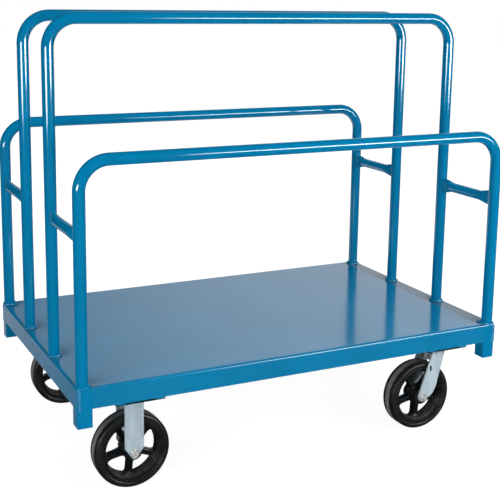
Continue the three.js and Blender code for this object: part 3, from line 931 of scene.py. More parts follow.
def tie_weld(place, sx):
    low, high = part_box(f"tie_tube_{place}")
    level = (low.z + high.z) / 2
    girth = math.pi * TIE_DIAMETER
    for y in (low.y, high.y):
        outline = [(sx * post_x + x, y, level + z) for x, z in pressed_ring(TIE_FLAT, girth)]
        add_weld(outline, [TIE_BEAD] * len(outline), True)


def leg_welds(sx, sy):
    outer_x = sx * deck_high.x
    outer_y = sy * deck_high.y
    inner_x = sx * (deck_high.x - leg_size)
    inner_y = sy * (deck_high.y - leg_size)
    notch = [(inner_x, outer_y - sy * DECK_BEND, deck_top), (inner_x, inner_y, deck_top),
             (outer_x - sx * DECK_BEND, inner_y, deck_top)]
    add_weld(notch, [SEAM_BEAD] * len(notch), False)
    set_back = 1.6 * MM
    corner = (outer_x - sx * set_back, outer_y - sy * set_back)
    add_weld([(*corner, deck_low.z - 3 * MM), (*corner, deck_top - 8 * MM)], [CORNER_BEAD] * 2, False)


def bolster_welds(side):
    low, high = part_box(f"bolster_plate_{side}")
    for y in (low.y - 0.2 * MM, high.y + 0.2 * MM):
        for start, end in ((low.x, low.x + STITCH_LENGTH), (high.x - STITCH_LENGTH, high.x)):
            add_weld([(start, y, high.z - 1 * MM), (end, y, high.z - 1 * MM)], [STITCH_BEAD] * 2, False)


def make_welds():
    points, edges, widths = [], [], []
    for path, beads, closed in weld_paths:
        start = len(points)
        points += path
        widths += beads
        edges += [(start + i, start + i + 1) for i in range(len(path) - 1)]
        if closed:
            edges.append((start + len(path) - 1, start))
    welds = add_mesh("frame_welds", points, [], edges)
    bead = welds.data.attributes.new("bead", "FLOAT", "POINT")
    bead.data.foreach_set("value", widths)
    run_tree(welds, weld_tree, Step=WELD_STEP, Ripple=2.6 * MM, Ripple_Height=0.9 * MM, Lumps=2.6 * MM,
             Finish=blue_enamel)
    clean(welds)
    settle(welds, "deck", blue_enamel, [], crisp=180)


for x, y in posts:
    post_weld(x, y)
for place, (sx, sy) in CORNERS.items():
    tie_weld(place, sx)
    leg_welds(sx, sy)
bolster_welds("left")
bolster_welds("right")
make_welds()

# %% [markdown]
# ## Zinc plate
# Forks, plates and fasteners are pressed steel with a bright zinc plate. Fresh zinc is a pale blue grey metal with a
# faint patchwork of crystals, and it dulls unevenly. Cells of a Voronoi texture give the patches, and stretched noise
# gives the slight streaks of the bath. Where a swivel bearing has wept grease, and on the inner faces of a swivel
# fork's legs towards the crown, an attribute turns it brown.

# %% Make the zinc plate
ZINC_PALE = (0.565, 0.69, 0.76, 1)
ZINC_GREY = (0.40, 0.50, 0.56, 1)
GREASE_BROWN = (0.075, 0.052, 0.032, 1)


def crystal_cells(tree, scale):
    """One random level for each crystal."""
    place = add_node(tree, "ShaderNodeTexCoord").outputs["Object"]
    cells = add_node(tree, "ShaderNodeTexVoronoi", {"Vector": place, "Scale": scale}).outputs["Color"]
    return add_node(tree, "ShaderNodeSeparateColor", {0: cells}).outputs["Red"]


def zinc_colour(tree):
    streaks = rescale(tree, object_noise(tree, 40.0, 3.0, (1, 1, 0.25)), 0.35, 0.65)
    patches = work_out(tree, "MULTIPLY_ADD", crystal_cells(tree, 380.0), 0.4, work_out(tree, "MULTIPLY", streaks, 0.6))
    plate = mix_colours(tree, patches, ZINC_GREY, ZINC_PALE)
    smear = rescale(tree, object_noise(tree, 90.0, 4.0), 0.3, 0.6)
    return mix_colours(tree, work_out(tree, "MULTIPLY", attribute(tree, "browning"), smear), plate, GREASE_BROWN)


def zinc_roughness(tree):
    return rescale(tree, object_noise(tree, 55.0, 4.0), 0.3, 0.7, 0.34, 0.5)


def zinc_grain(tree):
    return bump(tree, object_noise(tree, 420.0, 2.0), 0.00004, 0.6)


BOLT_PALE = (0.92, 0.93, 0.92, 1)
BOLT_GREY = (0.70, 0.72, 0.72, 1)


def bolt_colour(tree):
    return mix_colours(tree, rescale(tree, object_noise(tree, 300.0, 3.0), 0.4, 0.6), BOLT_GREY, BOLT_PALE)


def bolt_roughness(tree):
    return rescale(tree, object_noise(tree, 200.0, 3.0), 0.3, 0.7, 0.22, 0.34)


zinc_plate = new_finish("zinc_plate", zinc_colour, zinc_roughness, zinc_grain, Metallic=0.35)
bolt_zinc = new_finish("bolt_zinc", bolt_colour, bolt_roughness, zinc_grain, Metallic=0.6)
print("finishes", zinc_plate.name, bolt_zinc.name)

# %% [markdown]
# ## Other finishes
# The bearings are bare steel in brown grease. The wheel cores are castings under thin black paint, which keeps the
# grain of the sand, and dust settles where a face looks up. The tyres are moulded rubber: black and slightly waxy on
# their sides, but scuffed to a dusty grey brown on the tread. Dust and tread are attributes of the meshes.

# %% Make the bearing steel, the cast paint and the rubber
BEARING_GREY = (0.30, 0.27, 0.23, 1)
CAST_BLACK = (0.006, 0.006, 0.0065, 1)
CAST_WORN = (0.013, 0.013, 0.013, 1)
DUST = (0.050, 0.046, 0.042, 1)
RUBBER_BLACK = (0.009, 0.009, 0.009, 1)
RUBBER_GREY = (0.018, 0.018, 0.018, 1)
TREAD_DUST = (0.170, 0.155, 0.140, 1)


def bearing_colour(tree):
    film = rescale(tree, object_noise(tree, 130.0, 3.0), 0.4, 0.6)
    return mix_colours(tree, film, BEARING_GREY, GREASE_BROWN)


def bearing_roughness(tree):
    return rescale(tree, object_noise(tree, 130.0, 3.0), 0.3, 0.7, 0.22, 0.5)


def cast_colour(tree):
    paint = mix_colours(tree, rescale(tree, object_noise(tree, 35.0, 4.0), 0.4, 0.7), CAST_BLACK, CAST_WORN)
    settled = rescale(tree, object_noise(tree, 120.0, 5.0), 0.35, 0.6)
    return mix_colours(tree, work_out(tree, "MULTIPLY", attribute(tree, "dust"), settled), paint, DUST)


def cast_roughness(tree):
    paint = rescale(tree, object_noise(tree, 60.0, 3.0), 0.3, 0.7, 0.22, 0.34)
    return work_out(tree, "MULTIPLY_ADD", attribute(tree, "dust"), 0.4, paint)


def cast_grain(tree):
    return bump(tree, object_noise(tree, 330.0, 3.0), 0.00012, 0.5)


def rubber_colour(tree):
    side = mix_colours(tree, rescale(tree, object_noise(tree, 28.0, 5.0), 0.4, 0.7), RUBBER_BLACK, RUBBER_GREY)
    ragged = rescale(tree, object_noise(tree, 130.0, 6.0), 0.35, 0.65, -0.3, 0.2)
    worn = rescale(tree, work_out(tree, "ADD", attribute(tree, "tread"), ragged), 0.3, 0.7)
    return mix_colours(tree, worn, side, TREAD_DUST)


def rubber_roughness(tree):
    side = rescale(tree, object_noise(tree, 45.0, 3.0), 0.3, 0.7, 0.27, 0.38)
    return work_out(tree, "MULTIPLY_ADD", attribute(tree, "tread"), 0.4, side)


def rubber_grain(tree):
    return bump(tree, object_noise(tree, 600.0, 4.0), 0.0002, 0.5)


bearing_steel = new_finish("bearing_steel", bearing_colour, bearing_roughness, Metallic=0.9)
cast_paint = new_finish("cast_paint", cast_colour, cast_roughness, cast_grain)
tyre_rubber = new_finish("tyre_rubber", rubber_colour, rubber_roughness, rubber_grain)
print("finishes", bearing_steel.name, cast_paint.name, tyre_rubber.name)

# %% [markdown]
# ## Fork legs
# Both kinds of fork are a strip of thick sheet bent into a U over the wheel. A rigid one has straight legs with a
# panel pressed outwards and rolled edges. A swivel one leans back, so that the wheel trails behind the kingpin, and
# widens into a round crown under the ball race. One function lays rows of points up one leg, over the bend and down
# the other, and Solidify gives the strip its thickness, so bends and presses stay the same on both faces.

# %% Helpers for forks
FORK_SHEET = 5 * MM
FORK_FACE = 36 * MM  # outer face of a leg from the middle of the wheel
AXLE_RADIUS = 6.35 * MM
AXLE_CLEARANCE = 0.3 * MM
LEG_ROWS, TIP_ROWS, FORK_BEND_ROWS, CROWN_ROWS = 56, 14, 8, 14
FORK_COLUMNS = 40


def leg_edge(side, corners, tip, drop):
    """A leg's edge as points from its lowest up: round the tip, whose middle is under the axle, then to its corners."""
    x, z = corners[0]
    far = math.hypot(x, z + drop)
    touch = math.atan2(z + drop, x) - side * math.acos(tip / far)
    start = -math.pi / 2
    if side < 0:
        touch -= 2 * math.pi if touch > math.pi / 2 else 0
    turns = np.linspace(start, touch, TIP_ROWS + 1)
    return [(tip * math.cos(a), tip * math.sin(a) - drop) for a in turns] + list(corners)


def edge_at(edge, height):
    return float(np.interp(height, [z for _, z in edge], [x for x, _ in edge]))


def fork_strip(name, middle, axle_z, top, bend, edges, press, crown_edges):
    """A U of sheet over a wheel. Its edges run up a leg, crown_edges widen them over the top, press moves its face."""
    leg_top = top - axle_z - bend
    levels = set(np.linspace(0, leg_top, LEG_ROWS + 1))
    for edge in edges:
        levels |= {z for _, z in edge if z < leg_top}
    half = []
    for height in sorted(levels):
        sides = [edge_at(edge, height) for edge in edges]
        half.append((sides, -FORK_FACE, axle_z + height, Vector((0, -1, 0)), height))
    for angle in np.linspace(0, math.pi / 2, FORK_BEND_ROWS + 1)[1:]:
        y = -FORK_FACE + bend * (1 - math.cos(angle))
        z = top - bend * (1 - math.sin(angle))
        out = Vector((0, -math.cos(angle), math.sin(angle)))
        sides = [edge_at(edge, z - axle_z) for edge in edges]
        half.append((crown_edges(y, *sides), y, z, out, leg_top + bend * angle))
    for y in np.linspace(bend - FORK_FACE, 0, CROWN_ROWS + 1)[1:]:
        half.append((crown_edges(y, *sides), y, top, Vector((0, 0, 1)), leg_top + bend * 2))
    mirrored = [(sides, -y, z, Vector((0, -out.y, out.z)), along) for sides, y, z, out, along in half[-2::-1]]
    points = []
    for (left, right), y, z, out, along in half + mirrored:
        for share in np.linspace(0, 1, FORK_COLUMNS + 1):
            x = left + (right - left) * share
            points.append(Vector((middle.x + x, middle.y + y, z)) + out * press(x, along, right))
    wide = FORK_COLUMNS + 1
    rows = len(points) // wide
    faces = []
    for row in range(rows - 1):
        for i in range(FORK_COLUMNS):
            first = row * wide + i
            faces.append((first, first + 1, first + wide + 1, first + wide))
    strip = add_mesh(name, points, faces)
    clean(strip)
    face_out(strip, middle.y)
    thick = strip.modifiers.new("sheet", "SOLIDIFY")
    thick.thickness = FORK_SHEET
    thick.offset = -1
    round_edge = strip.modifiers.new("edge", "BEVEL")
    round_edge.width = 0.8 * MM
    round_edge.segments = 2
    round_edge.limit_method = "ANGLE"
    round_edge.angle_limit = math.radians(50)
    apply_modifiers(strip)
    return strip


def face_out(strip, middle_y):
    """Turns an open U of sheet so that its faces look away from the wheel."""
    work = bmesh.new()
    work.from_mesh(strip.data)
    work.normal_update()
    leaning = sum(f.normal.y * (f.calc_center_median().y - middle_y) * f.calc_area() for f in work.faces)
    if leaning < 0:
        bmesh.ops.reverse_faces(work, faces=work.faces)
    work.to_mesh(strip.data)
    work.free()


def join(first, *others):
    """Puts several meshes into the first one as separate shells."""
    work = bmesh.new()
    for piece in (first, *others):
        work.from_mesh(piece.data)
    work.to_mesh(first.data)
    work.free()
    for piece in others:
        bpy.data.objects.remove(piece)
    return first


def wheel_middle(place):
    low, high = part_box(f"tyre_{place}")
    return (low + high) / 2


axle_z = wheel_middle("left_front").z
print("axle height", round(axle_z / MM, 2), "mm")

# %% [markdown]
# ## Rigid casters
# The left casters only roll. Their fork is welded to a flat plate, which four bolts hold to the bolster. The photograph
# shows the leg's two rolled edges as pale lines and the end of its pressed panel as a darker curve above the axle.

# %% Make the rigid forks
PLATE_THICKNESS = 6.35 * MM
PLATE_CORNER = 9 * MM
RIGID_HALF = 26 * MM
RIGID_TAPER = 13 * MM  # where the leg starts to narrow, above the axle
RIGID_TIP = 10.5 * MM  # radius of its point
RIGID_TIP_DROP = 6.3 * MM  # middle of the point, below the axle
RIGID_BEND = 9 * MM
PANEL_HALF = 18 * MM
PANEL_SLOPE = 4.5 * MM
PANEL_RISE = 2.6 * MM
PANEL_FOOT = 30 * MM  # bottom of the pressed panel above the axle, at its middle
PANEL_SWEEP = 12 * MM  # how much higher the foot is at the panel's sides
ROLL_WIDTH = 4.5 * MM
ROLL_DEPTH = 2.6 * MM
ROLL_START, ROLL_FULL = 6 * MM, 24 * MM  # heights above the axle


def rigid_press(x, along, right):
    """The pressed panel stands out and the edges roll in."""
    inside = 1 - smooth_step(PANEL_HALF - PANEL_SLOPE, PANEL_HALF, abs(x))
    foot = PANEL_FOOT + PANEL_SWEEP * (x / PANEL_HALF) ** 2
    panel = PANEL_RISE * inside * smooth_step(foot, foot + 2.2 * PANEL_SLOPE, along)
    roll = max(0, abs(x) - (right - ROLL_WIDTH)) / ROLL_WIDTH
    return panel - ROLL_DEPTH * roll ** 2 * smooth_step(ROLL_START, ROLL_FULL, along)


def caster_plate(node, name):
    low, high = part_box(node)
    low.z = high.z - PLATE_THICKNESS
    caster = "_".join(node.split("_")[-2:])
    plate = slab(name, low, high, PLATE_CORNER)
    combine(plate, rods("holes", bolt_places(caster), BOLT_RADIUS + BOLT_CLEARANCE, (0, 0, 1), 40 * MM), "DIFFERENCE")
    return plate, low.z


def bore_axle(fork, middle):
    """Bores both legs of a fork for the axle."""
    radius = AXLE_RADIUS + AXLE_CLEARANCE
    combine(fork, rods("bore", [middle], radius, (0, 1, 0), 2 * FORK_FACE), "DIFFERENCE")


def make_rigid_fork(place):
    node = f"rigid_fork_{place}"
    middle = wheel_middle(place)
    plate, plate_bottom = caster_plate(node, f"{node}_pressed")
    top = plate_bottom - 0.1 * MM
    edges = []
    for side in (-1, 1):
        corners = [(side * RIGID_HALF, RIGID_TAPER), (side * RIGID_HALF, top - axle_z)]
        edges.append(leg_edge(side, corners, RIGID_TIP, RIGID_TIP_DROP))
    yoke = fork_strip("yoke", middle, axle_z, top, RIGID_BEND, edges, rigid_press, lambda y, *sides: sides)
    bore_axle(yoke, middle)
    fork = join(plate, yoke)
    settle(fork, "deck", zinc_plate, [node], crisp=40)


for place in ("left_front", "left_rear"):
    make_rigid_fork(place)

# %% [markdown]
# ## Swivel casters
# The right casters turn about a kingpin. Its fixed plate carries the upper track of a ball race, and the crown of the
# leaning fork carries the lower one. Grease wept from the race has run over the shoulder of the fork, and the inner
# faces of the legs turn brown towards the crown.

# %% Make the swivel plates and forks
SWIVEL_HALF = 21 * MM  # half the width of a leg at the crown
SWIVEL_LEAD = 7 * MM  # the middle of the leg there, ahead of the kingpin
SWIVEL_TIP = 14 * MM  # radius of the leg's end round the axle
SWIVEL_HEEL = (-12 * MM, 12 * MM)  # corners of the leg, ahead of the axle and above it
SWIVEL_CHIN = (34 * MM, 7 * MM)
SWIVEL_TOE = (45 * MM, 26 * MM)
SWIVEL_BEND = 9 * MM
CROWN_RADIUS = 45 * MM
KINGPIN_RADIUS = 9 * MM
KINGPIN_CLEARANCE = 0.3 * MM
KINGPIN_HEAD_RADIUS = 15 * MM
CUP_RADIUS = 30 * MM  # the ring that keeps grease under the crown
CUP_WALL = 3 * MM
CUP_DEPTH = 27 * MM
SLOT_HALF_WIDTH = 4 * MM
SLOT_HALF_HEIGHT = 8 * MM
SLOT_AHEAD, SLOT_RISE = 25 * MM, 85 * MM  # its middle from the axle
SLOT_CORNER = 1.5 * MM
TURNED_SIDES = 96


def turned(name, profile, centre, axis="Y", sides=TURNED_SIDES):
    """A turned body from a closed outline of radius and distance along its axis."""
    rings = []
    for i in range(sides):
        c = math.cos(2 * math.pi * i / sides)
        s = math.sin(2 * math.pi * i / sides)
        if axis == "Y":
            ring = [centre + Vector((radius * c, along, radius * s)) for radius, along in profile]
        else:
            ring = [centre + Vector((radius * c, radius * s, along)) for radius, along in profile]
        rings.append(ring)
    made = skin(name, rings, wrap=True)
    clean(made)
    return made


def make_swivel_plate(place):
    node = f"swivel_plate_{place}"
    plate, plate_bottom = caster_plate(node, f"{node}_kingpin")
    low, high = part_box(node)
    middle = (low + high) / 2
    head_bottom = low.z - plate_bottom
    head_top = head_bottom + 7 * MM
    dome = [(KINGPIN_HEAD_RADIUS * math.sin(a), head_top - 7 * MM * math.cos(a))
            for a in np.linspace(0, math.pi / 2, 10)]
    profile = dome + [(KINGPIN_RADIUS, head_top), (KINGPIN_RADIUS, -0.1 * MM), (0, -0.1 * MM)]
    pin = turned("pin", profile, Vector((middle.x, middle.y, plate_bottom)), "Z", 48)
    settle(join(plate, pin), "deck", zinc_plate, [node], crisp=40)


def slot_cutter(x, y, z):
    """An upright prism that cuts the slot through both legs."""
    ring = rounded_ring(SLOT_HALF_WIDTH, SLOT_HALF_HEIGHT, SLOT_CORNER)
    rings = []
    for depth in (-2 * FORK_FACE, 2 * FORK_FACE):
        rings.append([(x + spot.x, y + depth, z + spot.y) for spot, _ in ring])
    cutter = skin("slot", rings, caps=True)
    clean(cutter)
    return cutter


def make_swivel_fork(place):
    node = f"swivel_fork_{place}"
    side = place.split("_")[1]
    middle = wheel_middle(place)
    plate_low, plate_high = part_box(f"swivel_plate_{place}")
    king_x = (plate_low.x + plate_high.x) / 2
    trail = king_x - middle.x
    crown_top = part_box(node)[1].z
    rise = crown_top - axle_z

    leg_middle = trail + SWIVEL_LEAD
    left_corners = [SWIVEL_HEEL, (leg_middle - SWIVEL_HALF, rise)]
    right_corners = [SWIVEL_CHIN, SWIVEL_TOE, (leg_middle + SWIVEL_HALF, rise)]
    edges = [leg_edge(-1, left_corners, SWIVEL_TIP, 0), leg_edge(1, right_corners, SWIVEL_TIP, 0)]

    def crown_edges(y, left, right):
        share = smooth_step(-FORK_FACE, SWIVEL_BEND * 1.5 - FORK_FACE, -abs(y))
        reach = math.sqrt(CROWN_RADIUS ** 2 - y * y)
        return left + (trail - reach - left) * share, right + (trail + reach - right) * share

    fork = fork_strip(f"{node}_raked", middle, axle_z, crown_top, SWIVEL_BEND, edges, lambda *spot: 0.0, crown_edges)
    bore_axle(fork, middle)
    combine(fork, slot_cutter(middle.x + SLOT_AHEAD, middle.y, axle_z + SLOT_RISE), "DIFFERENCE")
    king = [Vector((king_x, middle.y, crown_top))]
    combine(fork, rods("king", king, KINGPIN_RADIUS + KINGPIN_CLEARANCE, (0, 0, 1), 20 * MM), "DIFFERENCE")
    lip = CUP_RADIUS - CUP_WALL / 2
    cup_outline = [(lip - CUP_WALL / 2, 0.1 * MM), (lip - CUP_WALL / 2, 1 * MM - CUP_DEPTH), (lip, -CUP_DEPTH),
                   (lip + CUP_WALL / 2, 1 * MM - CUP_DEPTH), (lip + CUP_WALL / 2, 0.1 * MM)]
    join(fork, turned("cup", cup_outline, king[0] - Vector((0, 0, FORK_SHEET)), "Z", 64))

    def browned(spot):
        streak = 0.5 + noise.noise(Vector((spot.x * 60, spot.y * 60, 0)))
        shoulder = smooth_step(crown_top - 14 * MM - 8 * MM * streak, crown_top - 3 * MM, spot.z)
        # The inner faces of the legs turn brown towards the crown.
        inside = abs(spot.y - middle.y) < FORK_FACE - FORK_SHEET / 2
        return max(shoulder, inside * smooth_step(crown_top - 70 * MM, crown_top - 25 * MM, spot.z))

    mark(fork, "browning", browned)
    settle(fork, f"swivel_{side}", zinc_plate, [node], crisp=40)


for place in ("right_front", "right_rear"):
    make_swivel_plate(place)
    make_swivel_fork(place)

# %% [markdown]
# ## Pieces round an axis
# Balls in a race, rollers in a bearing and the spokes of a wheel all repeat round an axis. One tree does them all: it
# takes a single ball, roller or spoke beside the axis, copies it at even angles and moves the ring to its centre.

# %% Build the ring tree
Y_AXIS = (0, 1, 0)
Z_AXIS = (0, 0, 1)


def build_ring_tree():
    tree, given, end = new_tree(
        "around_axis", Count="Int", Axis="Vector", Start="Float", Centre="Vector", Finish="Material")
    spots = add_node(tree, "GeometryNodePoints", {"Count": given["Count"]}).outputs[0]
    index = add_node(tree, "GeometryNodeInputIndex").outputs[0]
    step = work_out(tree, "DIVIDE", 2 * math.pi, given["Count"])
    angle = work_out(tree, "MULTIPLY_ADD", index, step, given["Start"])
    turn = add_node(tree, "FunctionNodeAxisAngleToRotation", {"Axis": given["Axis"], "Angle": angle}).outputs[0]
    copies = add_node(tree, "GeometryNodeInstanceOnPoints", {
        "Points": spots, "Instance": given["Geometry"], "Rotation": turn,
    }).outputs[0]
    placed = add_node(tree, "GeometryNodeTransform", {"Geometry": copies, "Translation": given["Centre"]}).outputs[0]
    end_tree(tree, placed, given["Finish"], end)
    return tree


ring_tree = build_ring_tree()
print("ring tree with", len(ring_tree.nodes), "nodes")

# %% [markdown]
# ## Ball races
# Two hardened tracks with a ring of balls between them carry each swivel. The tracks are turned, and the balls are
# small spheres that the ring tree repeats. All of it is coated in grease.

# %% Make the ball races
RACE_RADIUS = 38 * MM
TRACK_HALF = 6 * MM
TRACK_THICK = 2.6 * MM
BALL_RADIUS = 3.1 * MM
BALL_COUNT = 34


def make_ball():
    work = bmesh.new()
    place = Matrix.Translation((RACE_RADIUS, 0, 0))
    bmesh.ops.create_icosphere(work, subdivisions=2, radius=BALL_RADIUS, matrix=place)
    mesh = bpy.data.meshes.new("ball")
    work.to_mesh(mesh)
    work.free()
    ball = bpy.data.objects.new("ball", mesh)
    bpy.context.scene.collection.objects.link(ball)
    return ball


def track_outline(face, back):
    """A ring with a round groove for the balls in its face."""
    groove = [(RACE_RADIUS + BALL_RADIUS * 0.9 * math.sin(a), face + (back - face) * 0.45 * math.cos(a))
              for a in np.linspace(-math.pi / 2, math.pi / 2, 7)]
    inner, outer = RACE_RADIUS - TRACK_HALF, RACE_RADIUS + TRACK_HALF
    return [(inner, face)] + groove + [(outer, face), (outer, back), (inner, back)]


def make_ball_race(place):
    node = f"ball_race_{place}"
    low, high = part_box(node)
    middle = (low + high) / 2
    half = (high.z - low.z) / 2
    balls = run_tree(make_ball(), ring_tree, Count=BALL_COUNT, Axis=Z_AXIS, Start=0.0, Centre=middle,
                     Finish=bearing_steel)
    upper = turned("upper", track_outline(half - TRACK_THICK, half), middle, "Z")
    lower = turned("lower", track_outline(TRACK_THICK - half, -half), middle, "Z")
    race = join(upper, lower, balls)
    race.name = f"{node}_balls"
    settle(race, f"swivel_{place.split('_')[1]}", bearing_steel, [node])


for place in ("right_front", "right_rear"):
    make_ball_race(place)

# %% [markdown]
# ## Wheel cores
# Each wheel is a casting: a long hub, five ribbed spokes that swell into the hub and the rim, and a rim with a stepped
# flange. Hub and rim are turned outlines. A spoke is a row of rings with a ridge along each edge and a hollow between
# them. The ring tree repeats it, and a union makes one casting of the three.

# %% Cast the wheel cores
RIM_RADIUS = 79.3 * MM
RIM_HALF = 21 * MM
RIM_INSIDE = 70.3 * MM
HUB_RADIUS = 24 * MM
HUB_HALF = 30.5 * MM
BEARING_RADIUS = 15 * MM
BEARING_CLEARANCE = 0.3 * MM
SPOKE_COUNT = 5
SPOKE_START = math.radians(265)
SPOKE_HALF = 7.2 * MM  # half its width, seen from the side
SPOKE_DEPTH = 12.5 * MM  # half its depth along the axle
SPOKE_HOLLOW = 3.2 * MM
SPOKE_STEPS = 26


def both_ways(half_outline):
    """A closed outline from its half on the positive side of the wheel."""
    return half_outline + [(radius, -along) for radius, along in reversed(half_outline)]


def spoke_ring(distance):
    """The section of a spoke: a ridge along each edge and a hollow between them."""
    root = math.exp(-(distance - HUB_RADIUS) / (4 * MM))
    foot = math.exp(-(RIM_INSIDE - distance) / (4.5 * MM))
    half = SPOKE_HALF * (1 + 0.55 * root + 0.85 * foot)
    depth = SPOKE_DEPTH * (1 - 0.12 * smooth_step(HUB_RADIUS, RIM_INSIDE, distance)) + 3.5 * MM * foot
    hollow = depth - SPOKE_HOLLOW * max(0, 1 - root - foot)
    upper = [(half, depth - 1.6 * MM), (half - 0.5 * MM, depth - 0.5 * MM), (half - 1.5 * MM, depth),
             (half - 2.6 * MM, depth - 0.5 * MM), (half - 4.2 * MM, hollow), (0, hollow - 0.2 * MM)]
    across = upper + [(-w, d) for w, d in reversed(upper[:-1])]
    return across + [(w, -d) for w, d in reversed(across)]


def make_spokes(centre):
    distances = np.linspace(HUB_RADIUS - 4 * MM, RIM_INSIDE + 3 * MM, SPOKE_STEPS + 1)
    rings = [[(distance, d, w) for w, d in spoke_ring(distance)] for distance in distances]
    spoke = skin("spokes", rings, caps=True)
    clean(spoke)
    return run_tree(spoke, ring_tree, Count=SPOKE_COUNT, Axis=Y_AXIS, Start=-SPOKE_START, Centre=centre,
                    Finish=cast_paint)


def make_core(place):
    node = f"wheel_core_{place}"
    centre = wheel_middle(place)
    rim = both_ways([
        (RIM_INSIDE - 1.2 * MM, 0), (RIM_INSIDE - 0.6 * MM, 9 * MM), (RIM_INSIDE + 0.4 * MM, 15.5 * MM),
        (RIM_INSIDE + 1.2 * MM, 17.6 * MM), (RIM_INSIDE + 2.4 * MM, 18.4 * MM), (RIM_INSIDE + 3.4 * MM, 18.6 * MM),
        (RIM_INSIDE + 4.0 * MM, 19.6 * MM), (RIM_INSIDE + 4.6 * MM, 20.6 * MM), (RIM_INSIDE + 5.4 * MM, RIM_HALF),
        (RIM_RADIUS - 0.8 * MM, RIM_HALF), (RIM_RADIUS, RIM_HALF - 0.8 * MM), (RIM_RADIUS, 0),
    ])
    bore = BEARING_RADIUS + BEARING_CLEARANCE
    hub = both_ways([
        (bore, 0), (bore, HUB_HALF), (HUB_RADIUS - 1.6 * MM, HUB_HALF), (HUB_RADIUS - 0.6 * MM, HUB_HALF - 0.8 * MM),
        (HUB_RADIUS - 0.4 * MM, HUB_HALF - 8 * MM), (HUB_RADIUS, HUB_HALF - 17 * MM), (HUB_RADIUS, 0),
    ])
    core = join(turned(f"{node}_cast", rim, centre), turned("hub", hub, centre))
    combine(core, make_spokes(centre), "UNION")
    clean(core)

    def settled(spot):
        radius = math.hypot(spot.x - centre.x, spot.z - centre.z)
        in_rim = smooth_step(RIM_INSIDE - 7 * MM, RIM_INSIDE - 1 * MM, radius)
        in_rim *= 1 - smooth_step(RIM_INSIDE + 2 * MM, RIM_INSIDE + 5 * MM, radius)
        low = smooth_step(-0.2, -0.85, (spot.z - centre.z) / RIM_INSIDE)
        return in_rim * (0.1 + 0.9 * low)

    mark(core, "dust", settled)
    settle(core, f"wheel_{place}", cast_paint, [node], crisp=38)


for place in CORNERS:
    make_core(place)

# %% [markdown]
# ## Tyres
# The rubber is moulded onto the rim: a bead beside the flange, a shallow groove, a side wall and a round shoulder up to
# a nearly flat tread. All of that is one turned outline. The tread attribute fades over the shoulder, as dust does.

# %% Turn the tyres
BORE_RADIUS = 79.6 * MM
TYRE_HALF = 25.4 * MM
TREAD_HALF = 18 * MM
SHOULDER = 9 * MM
SHOULDER_STEPS = 12
TREAD_CROWN = 0.5 * MM
WORN_HALF = 10 * MM  # half the width of the strip that meets the floor
WORN_FADE = 5 * MM
TYRE_SIDES = 144


def tyre_outline(radius):
    side = [
        (BORE_RADIUS, 0), (BORE_RADIUS, 20.8 * MM), (80.0 * MM, 22.0 * MM), (80.9 * MM, 22.9 * MM),
        (82.2 * MM, 23.2 * MM), (83.4 * MM, 22.9 * MM), (84.0 * MM, 22.2 * MM), (84.7 * MM, 22.2 * MM),
        (85.3 * MM, 23.2 * MM), (86.3 * MM, 24.4 * MM), (87.8 * MM, 25.1 * MM), (89.6 * MM, TYRE_HALF),
        (radius - SHOULDER - 0.6 * MM, TYRE_HALF - 0.1 * MM),
    ]
    for angle in np.linspace(0, math.pi / 2, SHOULDER_STEPS + 1):
        along = TREAD_HALF + (TYRE_HALF - TREAD_HALF) * math.cos(angle)
        side.append((radius - TREAD_CROWN - SHOULDER * (1 - math.sin(angle)), along))
    for share in (0.85, 0.7, 0.55, 0.4, 0.2, 0):
        side.append((radius - TREAD_CROWN * share ** 2, TREAD_HALF * share))
    return both_ways(side)


def make_tyre(place):
    node = f"tyre_{place}"
    centre = wheel_middle(place)
    tyre = turned(f"{node}_moulded", tyre_outline(centre.z), centre, sides=TYRE_SIDES)

    def worn(spot):
        radius = math.hypot(spot.x - centre.x, spot.z - centre.z)
        edge = 1 - smooth_step(WORN_HALF - WORN_FADE, WORN_HALF + WORN_FADE, abs(spot.y - centre.y))
        return edge * smooth_step(centre.z - SHOULDER, centre.z - 4 * MM, radius)

    mark(tyre, "tread", worn)
    settle(tyre, f"wheel_{place}", tyre_rubber, [node], crisp=30)


for place in CORNERS:
    make_tyre(place)

# %% [markdown]
# ## Roller bearings
# A cage of plain rollers runs between a sleeve on the axle and one in the hub. Only their ends can be seen, beside the
# fork, but a wheel without them would be an empty bore.

# %% Make the roller bearings
ROLLER_RADIUS = 2.1 * MM
ROLLER_COUNT = 14
SLEEVE_WALL = 1.9 * MM


def make_bearing(place):
    node = f"roller_bearing_{place}"
    centre = wheel_middle(place)
    inner = AXLE_RADIUS + AXLE_CLEARANCE
    middle_radius = (inner + SLEEVE_WALL + BEARING_RADIUS - SLEEVE_WALL) / 2
    end = HUB_HALF - 0.4 * MM
    rim = ROLLER_RADIUS * 0.8
    outline = [(0, -end), (rim, -end), (ROLLER_RADIUS, rim - end), (ROLLER_RADIUS, end - rim), (rim, end), (0, end)]
    roller = turned("roller", outline, Vector((middle_radius, 0, 0)), sides=16)
    rollers = run_tree(roller, ring_tree, Count=ROLLER_COUNT, Axis=Y_AXIS, Start=0.0, Centre=centre,
                       Finish=bearing_steel)
    sleeves = []
    for low, high in ((inner, inner + SLEEVE_WALL), (BEARING_RADIUS - SLEEVE_WALL, BEARING_RADIUS)):
        wall = both_ways([(low, 0), (low, HUB_HALF - 0.5 * MM), (low + 0.5 * MM, HUB_HALF),
                          (high - 0.5 * MM, HUB_HALF), (high, HUB_HALF - 0.5 * MM), (high, 0)])
        sleeves.append(turned("sleeve", wall, centre, sides=48))
    bearing = join(sleeves[0], sleeves[1], rollers)
    bearing.name = f"{node}_rollers"
    settle(bearing, f"wheel_{place}", bearing_steel, [node])


for place in CORNERS:
    make_bearing(place)

